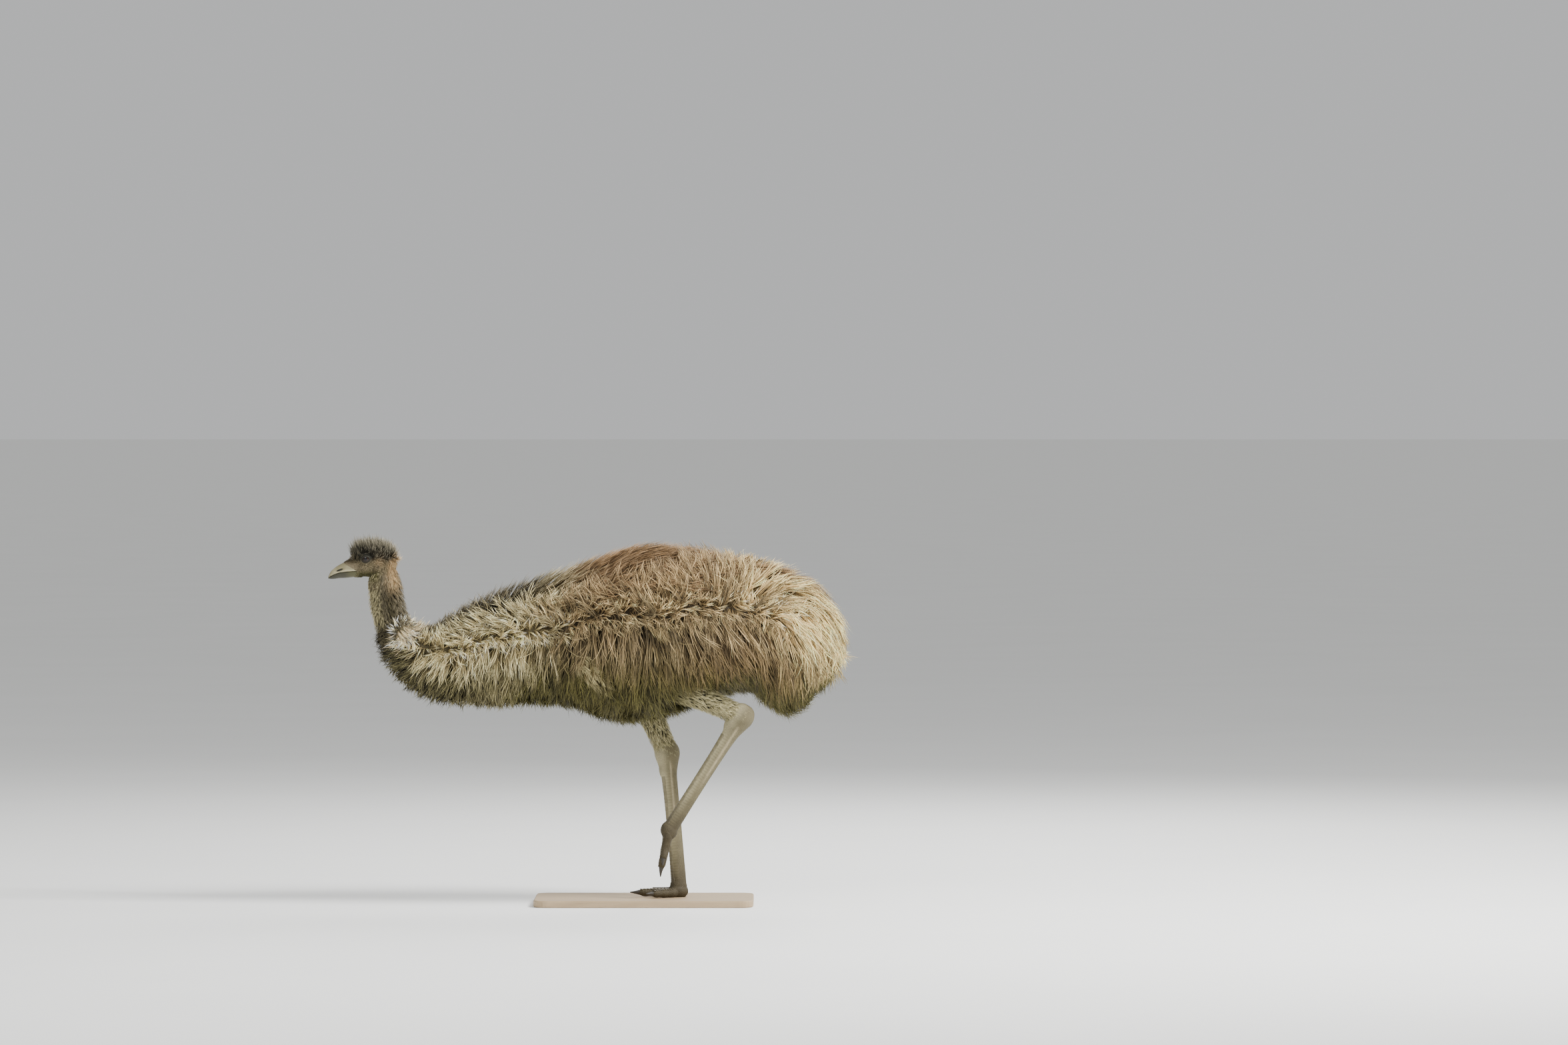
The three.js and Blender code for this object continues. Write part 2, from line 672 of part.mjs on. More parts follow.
const emu = new THREE.Group();
function node(name, solid, material) {
  const kept = largest(solid).getMesh();
  const geometry = new THREE.BufferGeometry()
    .setAttribute("position", new THREE.BufferAttribute(kept.vertProperties, 3))
    .setIndex(new THREE.BufferAttribute(kept.triVerts, 1));
  geometry.computeVertexNormals();
  const mesh = new THREE.Mesh(geometry, material);
  mesh.name = name;
  emu.add(mesh);
}

const ground = solidFrom(new THREE.BoxGeometry(2000, 2000, 400).translate(0, 0, -200));

// The coated lengths of the body. Each keeps clear of the wings, the legs, the others' cores and the
// locks of those made before it.
const SPANS = {
  torso: { from: CUTS.neck_lower, to: CUTS.torso, rings: 11, material: LOOKS.coat },
  neck_lower: { from: CUTS.neck_middle, to: CUTS.neck_lower, rings: 6, material: LOOKS.neckCoat },
  neck_middle: { from: CUTS.neck_upper, to: CUTS.neck_middle, rings: 6, material: LOOKS.neckCoat },
  neck_upper: { from: CUTS.head, to: CUTS.neck_upper, rings: 8, material: LOOKS.neckCoat },
  tail: { from: CUTS.torso, to: CUTS.tail, rings: 7, material: LOOKS.coat },
};
const core = (name, grow) => bodyCore(SPANS[name].from, SPANS[name].to, SPANS[name].rings, grow);

function makeBody() {
  const locks = growLocks();
  const inTheWay = Object.values(LEGS).map((leg) => calf(leg, GAP));
  for (const [name, side] of [["left", -1], ["right", 1]]) {
    const quills = tufts(wingTube(side), QUILLS);
    const bare = union([wing(side), quills.bare]).subtract(core("torso", GAP));
    node("wing_" + name, bare, LOOKS.coat);
    inTheWay.push(wing(side, GAP), quills.grown, quills.bare);
  }
  for (const [name, { from, to, material }] of Object.entries(SPANS)) {
    const own = locks.filter((lock) => lock.n >= from && lock.n < to);
    const others = Object.keys(SPANS).filter((other) => other !== name);
    const clear = union([...inTheWay, ...others.map((other) => core(other, GAP))]);
    const coat = union(own.map((lock) => lockSolid(lock))).subtract(clear);
    node(name, union([core(name, 0), coat]), material);
    inTheWay.push(union(own.map((lock) => lockSolid(lock, GAP))));
  }
}

// One leg from the calf to the claws. Toes stand on the ground, or hang where there is no toeHeight.
function makeLeg(name, side) {
  const leg = LEGS[name];
  const { pad, radii, toesAt, toeHeight, hang, fold } = FEET[name];
  const footBall = (grow) => ball(pad, radii.map((r) => r + grow));
  node("leg_" + name, calf(leg).subtract(core("torso", GAP)), LOOKS.calf);
  const clearOfShank = union([calf(leg, GAP), footBall(GAP)]);
  node("tarsus_" + name, shank(leg).subtract(clearOfShank), LOOKS.skin);
  node("foot_" + name, footBall(0).subtract(ground), LOOKS.skin);
  const inTheWay = [footBall(GAP), ground];
  for (const which of ["middle", "inner", "outer"]) {
    const sizes = FOOT[which];
    const turn = THREE.MathUtils.degToRad(sizes.splay * side);
    const way = hang
      ? vec(...hang).applyAxisAngle(vec(-hang[2], 0, hang[0]), turn * fold).normalize()
      : vec(-Math.cos(turn), Math.sin(turn), 0);
    const root = vec(...pad).addScaledVector(way, toesAt);
    root.y += Math.sign(sizes.splay) * side * TOE.apart;
    root.z = toeHeight ?? root.z;
    const made = toe(root, way, sizes);
    const grown = toe(root, way, sizes, GAP);
    node(`toe_${which}_${name}`, made.toe.subtract(union(inTheWay)), LOOKS.skin);
    node(`claw_${which}_${name}`, made.claw.subtract(grown.toe).subtract(ground), LOOKS.claw);
    if (which === "middle") inTheWay.push(grown.toe);
  }
}

// The base lies under the foot, and its underside is the ground.
function makeBase() {
  const { length, width, thick, corner, bevel } = BASE;
  const x = length / 2 - corner;
  const y = width / 2 - corner;
  const outline = new THREE.Shape();
  outline.absarc(x, y, corner - bevel, 0, Math.PI / 2);
  outline.absarc(-x, y, corner - bevel, Math.PI / 2, Math.PI);
  outline.absarc(-x, -y, corner - bevel, Math.PI, 1.5 * Math.PI);
  outline.absarc(x, -y, corner - bevel, 1.5 * Math.PI, 2 * Math.PI);
  return new THREE.ExtrudeGeometry(outline, {
    depth: thick - 2 * bevel,
    bevelSize: bevel,
    bevelThickness: bevel,
    bevelSegments: 1,
    curveSegments: 3,
  }).translate(0, 0, bevel);
}

makeBody();
node("head", makeHead(), LOOKS.headCoat);
node("bill_upper", makeUpperBill(), LOOKS.bill);
node("bill_lower", billHalf(-1, 0), LOOKS.bill);
for (const [name, side] of [["left", -1], ["right", 1]]) {
  node("eye_" + name, ball([EYE.x, side * EYE.y, EYE.z], Array(3).fill(EYE.radius)), LOOKS.eye);
  makeLeg(name, side);
}
const base = new THREE.Mesh(makeBase(), LOOKS.base);
base.name = "stand_base";
emu.position.set(-BASE.x, 0, BASE.thick + GAP);
const model = new THREE.Group().add(emu, base);

export default model;
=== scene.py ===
import math

import bpy
import numpy as np
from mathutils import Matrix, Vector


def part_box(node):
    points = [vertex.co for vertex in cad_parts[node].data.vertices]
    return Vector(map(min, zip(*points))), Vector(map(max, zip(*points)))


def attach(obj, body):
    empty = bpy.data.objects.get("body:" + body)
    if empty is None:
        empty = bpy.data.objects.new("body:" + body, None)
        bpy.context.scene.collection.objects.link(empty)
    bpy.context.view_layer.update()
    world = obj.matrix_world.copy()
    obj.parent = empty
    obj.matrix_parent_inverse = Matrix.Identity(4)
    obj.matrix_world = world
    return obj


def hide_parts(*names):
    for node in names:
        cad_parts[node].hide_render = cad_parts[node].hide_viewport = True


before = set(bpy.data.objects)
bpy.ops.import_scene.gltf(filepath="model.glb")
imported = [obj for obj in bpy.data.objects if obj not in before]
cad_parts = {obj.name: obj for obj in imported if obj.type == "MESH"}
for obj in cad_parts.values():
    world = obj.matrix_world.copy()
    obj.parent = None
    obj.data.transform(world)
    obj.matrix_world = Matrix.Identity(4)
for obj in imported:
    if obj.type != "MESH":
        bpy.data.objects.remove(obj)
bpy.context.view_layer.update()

# A life-size adult emu in mid stride, its head carried low in front of it. It stands on its right foot
# on a plain base, and swings the left leg past it. The bird faces -X and its left side faces -Y.
#
# Sizes below are millimetres, from the ground under the ball of the standing foot. in_frame() turns
# them into the frame's metres.

METRES = 0.001
STANDS_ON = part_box("stand_base")[1].z
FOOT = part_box("foot_right")
BALL_AHEAD = 0.004  # of the foot's middle, in metres
SOLE_GAP = 0.0003  # between the foot and the base, in metres
ORIGIN = np.array([(FOOT[0].x + FOOT[1].x) / 2 - BALL_AHEAD, 0, STANDS_ON + SOLE_GAP])
draw = np.random.default_rng(7)

# The body is one tube from the skull to the tip of the tail. Each station: x and z of its axis, how far
# the coat's outline lies above, below and beside it, and how deep the coat is.
BODY = np.array([
    (-862, 980, 36, 30, 28, 8),
    (-857, 930, 47, 48, 37, 12),
    (-853, 862, 50, 50, 39, 14),
    (-833, 796, 52, 54, 46, 20),
    (-794, 737, 62, 80, 60, 32),
    (-731, 704, 82, 112, 76, 44),
    (-653, 700, 110, 134, 90, 52),
    (-556, 722, 136, 160, 108, 58),
    (-448, 748, 158, 178, 132, 62),
    (-322, 768, 186, 206, 160, 64),
    (-205, 780, 219, 252, 188, 66),
    (-88, 786, 245, 254, 206, 68),
    (29, 796, 229, 228, 212, 70),
    (146, 800, 196, 194, 206, 72),
    (263, 790, 178, 176, 184, 76),
    (345, 758, 168, 196, 152, 80),
    (409, 731, 125, 192, 112, 70),
    (450, 709, 70, 152, 68, 50),
    (470, 694, 26, 84, 28, 20),
], float)
PINCH = 0.1  # how much narrower the body is at its back than at its belly
SKIN_DEPTH = 0.6  # how deep the skin lies under the outline, as a share of the coat's depth
PUFF = (3.5, 58)  # station and angle of the pale whorl on either side of the neck's bend
PUFF_STEP = 71  # millimetres from one station to the next there, where a degree is about 1 millimetre
PUFF_REACH = 42  # millimetres from its middle to its edge
COAT_SPAN = (3.15, 17.7)  # the stations with long feathers
NECK_END = 7.6  # the station where the neck's coat ends
SPACING = {"coat": 14, "stray": 16, "dense": 6.5, "upper_neck": 4.6, "calf": 6, "wing": 7}  # of clumps
BRISTLES = 17000  # feathers of the head, before its bare places are left out
WIDEST = 206  # feathers that would reach farther aside than this are pressed in
PRESSED = 0.7  # by this share of how far they would
PATCH = 0.003  # how much of the unwrapped skin a feather covers
ROOT_SHADE = 0.38  # painted shade: how dark a feather is made at its root, deep in the coat
PALEST = 0.95
UNDER_COAT_SHADE = 0.22  # painted shade: the skin under the feathers is made dark so that the gaps between them look shaded
RIPPLE = 0.33  # the waves along a feather, as a share of how far it curls
TRIM = 0.16  # how unequal in length the strands of a clump are
SCALE_STEP = 8.5  # from one broad scale of a shank to the next
SCUTES_FROM = 5.2  # the place in SHANK where its plates begin
SKIN_GRID = {"torso": 6, "head": 1.7, "leg": 2.2}  # how fine the skin is made

# The head without its crest: x and z of the axis, then up, down and half width.
HEAD = np.array([
    (-822, 976, 10, 12, 9),
    (-832, 976, 30, 30, 22),
    (-852, 976, 43, 42, 31),
    (-880, 975, 49, 42, 34),
    (-905, 972, 45, 38, 32),
    (-926, 968, 36, 33, 26),
    (-946, 966, 26, 28, 17),
    (-962, 968, 16, 12, 10),
    (-971, 972, 6, 5, 4),
], float)
HEAD_INSET = 4
HEAD_SPAN = (-980, -800)  # x from the bill to the nape
HEAD_LOW = 900  # z of the throat
# The bill, back to front: x and z of the mouth line, the upper half's height, the lower half's depth
# and the half width.
BILL = np.array([
    (-922, 954, 27, 15, 21),
    (-945, 953, 29, 16, 21),
    (-969, 951.5, 26, 17, 19),
    (-986, 949, 21, 15, 16),
    (-1001, 944, 16, 12, 12),
    (-1013, 938.5, 10.5, 7, 8),
    (-1019, 935, 5, 4, 4),
], float)
NOSTRIL = {"x": -985, "z": 957, "length": 21, "height": 5.5, "depth": 3, "slope": 20}
# Skin covers the back of the bill behind a line from its ridge to the corner of the mouth.
BILL_COVER = {"ridge": (-976, 978), "corner": (-934, 953), "thick": 1.4}
EYE = {"x": -908, "y": 20, "z": 990, "radius": 14, "iris": 9.5, "pupil": 4.8}
LID = {"wide": 11.4, "high": 9.2, "thick": 2.5}
EAR = {"x": -874, "y": 32, "z": 966, "radius": 4.6, "rim": 1.3}
EAR_PATCH = {"x": -872, "z": 982, "radius": 15}
SIDES = {"left": -1, "right": 1}

# Each wing's line: station and angle on the body, how far out it lies, thickness and width.
WING = [(8.95, 97, -38, 12, 18), (9.25, 109, -30, 14, 22), (9.6, 121, -22, 14, 21),
        (9.9, 131, -14, 11, 16), (10.1, 138, -8, 5, 8)]
WING_INSET = 5

# The legs: joints, then the feathered calf as (share of the way from knee to hock, half thickness).
LEGS = {
    "right": {
        "knee": (-185, 94, 780), "hock": (-29, 56, 421), "ball": (6, 0, 38),
        "calf": [(0, 64), (0.3, 60), (0.6, 46), (0.8, 36), (0.95, 34), (1.0, 33)],
    },
    "left": {
        "knee": (-150, -92, 692), "hock": (191, -104, 534), "ball": (-21, -84, 200),
        "calf": [(0, 58), (0.3, 54), (0.52, 44), (0.75, 35), (0.93, 33), (1.0, 32)],
    },
}
CALF_FLAT = 0.86
CALF_INSET = 5
# The bare shank: share of the way from hock to ball, half depth and half width.
SHANK = [(-0.09, 13, 10), (-0.07, 26, 20), (-0.03, 35, 27), (0.02, 37, 29), (0.08, 31, 25),
         (0.16, 24, 19.5), (0.3, 21, 17), (0.48, 20, 16), (0.7, 20, 17), (0.9, 21, 19), (1, 22, 21)]
TENDON = {"thick": 9, "wide": 7, "behind": 14}
TOES = {"inner": (78, -33, 22), "middle": (104, 0, 27), "outer": (80, 33, 22)}  # length, splay, claw
TOE = {"thick": 15, "taper": 0.72}
# Each foot: its pad, where its toes start, how far along and how far apart, the way of the middle toe,
# the share of the splay that is kept, the ways above the toes and behind the shank, and the claws' hook.
FEET = {
    "right": {"pad": (4, 0, 17), "radii": (30, 29, 24), "toes": (4, 0, 13), "toes_at": 10, "apart": 13,
              "way": (-1, 0, 0), "fold": 1, "above": (0, 0, 1), "behind": (1, 0, 0), "hook": 0},
    "left": {"pad": (-21, -84, 200), "radii": (23.76, 23.76, 26.4), "toes": (-21, -84, 200), "toes_at": 8,
             "apart": -13, "way": (-0.2, 0, -0.98), "fold": 0.45, "above": (-1, 0, 0),
             "behind": (0.84, 0, 0.54), "hook": 2.5},
}

# The stage, in metres.
FLOOR_SIZE = 900
CAMERA_FAR = 20.0
CAMERA_HEIGHT = 1.42
VIEW_WIDTH = 4.586  # of the photo, where the bird is
VIEW_MIDDLE = (314, 0, 1096)  # of the photo, in millimetres
SKY = {"colour": (0.9, 0.91, 0.92, 1), "strength": 0.62}
LAMP_AIM = (0, 0, 0.7)
LAMPS = [("key", (4.2, -1.8, 4.8), 2.0, 780), ("front", (-1.6, -5.2, 4.6), 3.6, 170),
         ("rim", (1.6, 4.2, 4.2), 2.6, 220)]  # place, size and watts


# Colours.

def linear(display):
    """Display colours, 0 to 255 a channel, as linear light."""
    share = np.array(display) / 255
    return np.where(share < 0.04045, share / 12.92, ((share + 0.055) / 1.055) ** 2.4)


# Feathers have one colour at the root and one at the tip. All else has one colour.
TONES = {name: linear(display) for name, display in {
    "back": ((96, 74, 50), (143, 114, 78)),
    "ruffle": ((98, 79, 50), (194, 164, 118)),
    "flank": ((98, 83, 57), (160, 139, 102)),
    # belly and neck_under: the underside's own dark brown, with painted shade and painted green light
    # bounced from below
    "belly": ((44, 40, 18), (110, 104, 56)),
    # rump: its own pale feathers, with the brightest tips a painted highlight of sunlight on the top of the
    # rear
    "rump": ((198, 166, 112), (255, 230, 166)),
    "neck_pale": ((172, 154, 108), (255, 241, 188)),
    "neck_dark": ((62, 56, 41), (120, 109, 84)),
    "neck_under": ((68, 62, 38), (134, 126, 86)),
    "puff": ((226, 202, 158), (255, 234, 194)),
    "nape": ((184, 150, 104), (244, 212, 164)),
    "hindneck": ((104, 94, 72), (168, 158, 132)),
    "dark_band": ((58, 52, 36), (104, 96, 70)),
    "throat": ((164, 154, 116), (200, 188, 146)),
    # neck_rim: painted rim light along the front of the upper neck; the shanks' pale line takes its root
    # colour as its own colour
    "neck_rim": ((200, 186, 150), (226, 214, 182)),
    "crown": ((40, 38, 29), (92, 87, 68)),
    "face": ((100, 90, 66), (164, 150, 118)),
    "chin": ((76, 74, 42), (138, 132, 84)),
    "calf": ((166, 156, 114), (212, 203, 160)),
    "calf_dark": (104, 98, 62),
    "crest_tip": (190, 180, 154),
    "ear_patch": (138, 112, 78),
    "bare_face": (122, 110, 86),
    "leg": (112, 104, 78),
    "leg_pale": (160, 152, 120),
    "leg_in_shadow": (72, 64, 46),
    "horn": (138, 130, 96),
    "horn_pale": (176, 168, 134),
    "horn_low": (54, 52, 34),
    # nostril: painted shade inside the nostrils and the ear openings; the bill's tips take it as their own
    # dark colour
    "nostril": (42, 40, 28),
    "claw": (50, 45, 37),
    "iris": (34, 22, 14),
    "iris_pale": (42, 27, 16),
    "iris_rim": (24, 16, 11),
    "eyeball": (20, 17, 14),
    "base_dark": (150, 128, 98),
    "base_pale": (186, 164, 132),
    "floor_dark": (240, 240, 237),
    "floor_pale": (246, 246, 243),
}.items()}


# Mathematics.

def unit(v):
    v = np.asarray(v, float)
    return v / np.maximum(np.linalg.norm(v, axis=-1, keepdims=True), 1e-9)


def mix(a, b, share):
    return a + (b - a) * share


def smooth(x, low, high):
    """0 below low, 1 above high, with a soft step between. High may be the lower one."""
    t = np.clip((x - low) / (high - low), 0, 1)
    return t * t * (3 - 2 * t)


def bump(x, middle, width):
    return np.exp(-(((x - middle) / width) ** 2))


def layered(colour, layers):
    """The colour with others laid over it, each given with its share at every place."""
    for share, over in layers:
        colour = mix(colour, over, share.reshape(share.shape + (1,) * over.ndim))
    return colour


def unevenness(n, phi, seed):
    """A smooth field between about -1 and 1 that differs from place to place."""
    a = np.sin(5.1 * n + 3.0 * phi + 1.3 * seed) + np.sin(3.3 * n - 4.7 * phi + 2.1 * seed)
    b = np.sin(9.7 * n + 7.9 * phi + 0.7 * seed) + np.sin(11.9 * n - 6.1 * phi + 3.9 * seed)
    return 0.3 * a + 0.2 * b


def from_back(phi):
    """The angle from the back to either side, in degrees."""
    return np.abs(np.degrees(phi))


def turns(sides):
    return np.linspace(0, 2 * math.pi, sides, endpoint=False)


def spline(rows, at):
    """The smooth curve through the rows, read at row numbers that may lie between two rows."""
    rows = np.asarray(rows, float)
    ends = np.vstack([2 * rows[0] - rows[1], rows, 2 * rows[-1] - rows[-2]])
    i = np.clip(np.floor(at).astype(int), 0, len(rows) - 2)
    t = (at - i)[:, None]
    p, q, r, s = ends[i], ends[i + 1], ends[i + 2], ends[i + 3]
    cubic = (3 * q - p - 3 * r + s) * t**3 + (2 * p - 5 * q + 4 * r - s) * t**2
    return 0.5 * (2 * q + (r - p) * t + cubic)


class Tube:
    """An oval section that changes along a smooth line, read at station n and angle phi from its back."""

    FINE = 40

    def __init__(self, places, sizes, skin=0.0, across=(0, 1, 0), pinch=0.0):
        """Sizes are up, down and half width. Skin says how far out the skin lies, or is a rule for it."""
        self.last = len(places) - 1
        at = np.linspace(0, self.last, self.last * self.FINE + 1)
        self.line = spline(places, at)
        along = unit(np.gradient(self.line, axis=0))
        up = unit(np.cross(along, np.asarray(across, float)))
        self.table = np.hstack([self.line, spline(sizes, at), along, up, unit(np.cross(up, along))])
        self.end_speed = np.linalg.norm(self.line[-1] - self.line[-2]) * self.FINE
        self.skin = skin if callable(skin) else lambda n, phi: skin
        self.pinch = pinch

    def read(self, n):
        """The axis, the sizes, and the ways along, up and aside."""
        place = np.clip(n, 0, self.last) * self.FINE
        i = np.minimum(place.astype(int), len(self.table) - 2)
        t = (place - i)[..., None]
        return np.split(self.table[i] * (1 - t) + self.table[i + 1] * t, 5, axis=-1)

    def point(self, n, phi, out=0.0):
        """The point at phi, out millimetres off the outline. Past the last station it goes straight on."""
        n, phi, out = np.broadcast_arrays(np.asarray(n, float), phi, out)
        axis, sizes, along, up, side = self.read(n)
        c = np.cos(phi)
        high = np.maximum(np.where(c > 0, sizes[..., 0], sizes[..., 1]) + out, 0.5)
        wide = np.maximum(sizes[..., 2] * (1 - self.pinch * c) + out, 0.5)
        past = np.maximum(n - self.last, 0) * self.end_speed
        return (axis + along * past[..., None] + up * (high * c)[..., None]
                + side * (wide * np.sin(phi))[..., None])

    def speed(self, n, phi, out):
        """How fast a point moves with n and with phi."""
        along = np.linalg.norm(self.point(n + 0.05, phi, out) - self.point(n - 0.05, phi, out), axis=-1)
        around = np.linalg.norm(self.point(n, phi + 0.02, out) - self.point(n, phi - 0.02, out), axis=-1)
        return np.maximum(along / 0.1, 12), np.maximum(around / 0.04, 12)


def in_frame(points):
    return np.asarray(points) * METRES + ORIGIN


# Meshes.

def add_object(name, data):
    thing = bpy.data.objects.new(name, data)
    bpy.context.scene.collection.objects.link(thing)
    return thing


def dress(thing, slot, *nodes):
    """Has the piece ride the root body in the place of its nodes, which it hides. The slot is not used."""
    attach(thing, "root")
    if nodes:
        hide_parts(*nodes)


def mesh_object(name, points, corners, sizes, material=None):
    """An object in the frame from points in millimetres, and its faces as one run of corners."""
    mesh = bpy.data.meshes.new(name)
    mesh.vertices.add(len(points))
    mesh.vertices.foreach_set("co", in_frame(points).astype(np.float32).ravel())
    mesh.loops.add(len(corners))
    mesh.loops.foreach_set("vertex_index", corners.astype(np.int32))
    mesh.polygons.add(len(sizes))
    starts = np.concatenate([[0], np.cumsum(sizes)[:-1]])
    mesh.polygons.foreach_set("loop_start", starts.astype(np.int32))
    mesh.update(calc_edges=True)
    mesh.validate()
    mesh.shade_smooth()
    if material:
        mesh.materials.append(material)
    return add_object(name, mesh)


def grid(rings, sides):
    """Corners of the quads from each ring of points to the next, and from the last one to the first."""
    i, k = np.meshgrid(np.arange(rings), np.arange(sides), indexing="ij")
    corners = [(i + a) % rings * sides + (k + b) % sides for a, b in ((0, 0), (1, 0), (1, 1), (0, 1))]
    return np.stack(corners, axis=-1).reshape(-1, 4)


def surface(loops):
    """Points, corners and face sizes of the closed surface through loops, with a fan at either end."""
    rings, sides = loops.shape[:2]
    points = np.vstack([loops.reshape(-1, 3), loops[0].mean(0), loops[-1].mean(0)])
    quads = grid(rings, sides)[:-sides]
    first, k = rings * sides, np.arange(sides)
    end = first - sides
    caps = np.vstack([
        np.stack([np.full(sides, first), k, (k + 1) % sides], axis=1),
        np.stack([np.full(sides, first + 1), end + (k + 1) % sides, end + k], axis=1),
    ])
    sizes = np.repeat([4, 3], [len(quads), len(caps)])
    return points, np.concatenate([quads.ravel(), caps.ravel()]), sizes


def loft(name, loops, material=None):
    return mesh_object(name, *surface(loops), material)


def closed_ring(name, loops, material=None):
    """The closed surface through loops that come back to the first one."""
    quads = grid(*loops.shape[:2])[:, [0, 3, 2, 1]]
    return mesh_object(name, loops.reshape(-1, 3), quads.ravel(), np.full(len(quads), 4), material)


def tube_loops(tube, rings, sides, start=0, end=None, out=None):
    """Loops round a tube, from start to end, on its skin unless out says how far out."""
    n = np.linspace(start, tube.last if end is None else end, rings)[:, None]
    phi = turns(sides)
    return tube.point(n, phi, tube.skin(n, phi) if out is None else out)


def rod(centres, above, aside, high, wide, sides):
    """Loops round the centres, high times the way above by wide times the way aside."""
    phi = turns(sides)
    return (centres[:, None] + above * (high * np.cos(phi))[..., None]
            + aside * (wide * np.sin(phi))[..., None])


def ellipsoid(name, at, radii, rings=24, sides=32, material=None):
    across = np.linspace(0, math.pi, rings + 1)[1:-1, None]
    phi = turns(sides)
    shape = np.stack([np.sin(across) * np.cos(phi), np.sin(across) * np.sin(phi),
                      np.cos(across) + 0 * phi], axis=-1)
    return loft(name, shape * np.array(radii) + np.array(at), material)


def torus(name, at, radius, thick, squash=1.0, material=None):
    """A ring about an axis across the bird."""
    ring = turns(40)[:, None]
    tube = turns(12)
    reach = radius + thick * np.cos(tube)
    loops = np.stack([reach * np.cos(ring), thick * np.sin(tube) + 0 * ring,
                      reach * np.sin(ring) * squash], axis=-1)
    return closed_ring(name, loops + np.array(at), material)


def finish_mesh(thing):
    """Applies the object's modifiers to its mesh."""
    bpy.context.view_layer.update()
    seen = thing.evaluated_get(bpy.context.evaluated_depsgraph_get())
    mesh = bpy.data.meshes.new_from_object(seen)
    thing.modifiers.clear()
    thing.data = mesh


def fused(things, voxel, relax=2):
    """One closed surface round all the things, made on a grid of that many millimetres and smoothed."""
    with bpy.context.temp_override(active_object=things[0], selected_editable_objects=things):
        bpy.ops.object.join()
    blocks = things[0].modifiers.new("grid", "REMESH")
    blocks.mode = "VOXEL"
    blocks.voxel_size = voxel * METRES
    things[0].modifiers.new("soft", "SMOOTH").iterations = relax
    finish_mesh(things[0])
    return things[0]


def merged(name, things):
    """The union of closed surfaces, each as fine as it was."""
    one = things[0]
    for other in things[1:]:
        union = one.modifiers.new("union", "BOOLEAN")
        union.operation = "UNION"
        union.solver = "MANIFOLD"
        union.object = other
        finish_mesh(one)
        bpy.data.objects.remove(other)
    one.name = one.data.name = name
    return one


def points_of(thing):
    """The vertices of an object, back in millimetres."""
    co = np.empty(len(thing.data.vertices) * 3, np.float32)
    thing.data.vertices.foreach_get("co", co)
    return (co.reshape(-1, 3).astype(float) - ORIGIN) / METRES


def paint(thing, colours, name="tint"):
    """Keeps a colour for each vertex, or one for them all."""
    layer = thing.data.attributes.new(name, "FLOAT_COLOR", "POINT")
    rgba = np.ones((len(thing.data.vertices), 4), np.float32)
    rgba[:, :3] = colours
    layer.data.foreach_set("color", rgba.ravel())


# Materials. Each takes its colour from the tint attribute or from nodes.

class Shader:
    """A material with a principled shader, and short ways to add nodes."""

    def __init__(self, name, roughness, specular):
        self.material = bpy.data.materials.new(name)
        self.material.use_nodes = True
        self.tree = self.material.node_tree
        self.set("Roughness", roughness)
        self.set("Specular IOR Level", specular)
        self.places = self.add("TexCoord").outputs["Object"]

    def put(self, socket, value):
        if isinstance(value, bpy.types.NodeSocket):
            self.tree.links.new(value, socket)
        else:
            socket.default_value = value

    def set(self, name, value):
        self.put(self.tree.nodes["Principled BSDF"].inputs[name], value)

    def add(self, kind, inputs=(), **settings):
        """A node with its inputs, given by name or number."""
        node = self.tree.nodes.new("ShaderNode" + kind)
        for key, value in settings.items():
            setattr(node, key, value)
        for key, value in dict(inputs).items():
            self.put(node.inputs[key], value)
        return node

    def attribute(self, name):
        return self.add("Attribute", attribute_name=name).outputs["Color"]

    def math(self, operation, *values):
        return self.add("Math", dict(enumerate(values)), operation=operation).outputs[0]

    def noise(self, scale, detail=4, vector=None):
        inputs = {"Scale": scale, "Detail": detail, "Vector": vector or self.places}
        return self.add("TexNoise", inputs).outputs["Fac"]

    def grain(self, *scale):
        return self.add("Mapping", {"Vector": self.places, "Scale": scale}).outputs["Vector"]

    def share(self, value, top):
        """The value as a share of top."""
        return self.add("MapRange", {"Value": value, "From Max": top}).outputs["Result"]

    def span(self, value, low, high):
        """The value, which is 0 to 1, spread from low to high."""
        return self.add("MapRange", {"Value": value, "To Min": low, "To Max": high}).outputs["Result"]

    def pick(self, share, a, b):
        return self.add("Mix", {0: share, 2: a, 3: b}).outputs[0]

    def blend(self, share, *names):
        """From the first of two tones to the second."""
        a, b = ((*TONES[name], 1) for name in names)
        return self.add("Mix", {0: share, 6: a, 7: b}, data_type="RGBA").outputs[2]

    def times(self, colour, factor):
        """The colour made brighter or darker by a factor."""
        grey = self.add("CombineColor", {"Red": factor, "Green": factor, "Blue": factor})
        return self.add("Mix", {0: 1.0, 6: colour, 7: grey.outputs["Color"]},
                        data_type="RGBA", blend_type="MULTIPLY").outputs[2]

    def tinted(self, *factors):
        """Colours the material by the tint attribute times each of the factors."""
        colour = self.attribute("tint")
        for factor in factors:
            colour = self.times(colour, factor)
        self.set("Base Color", colour)

    def raise_by(self, height, distance):
        node = self.add("Bump", {"Height": height, "Distance": distance * METRES})
        self.set("Normal", node.outputs["Normal"])


def feather_material(name, roughness):
    s = Shader(name, roughness, 0.25)
    s.tinted(s.span(s.noise(260), 0.66, 1.34))
    return s.material


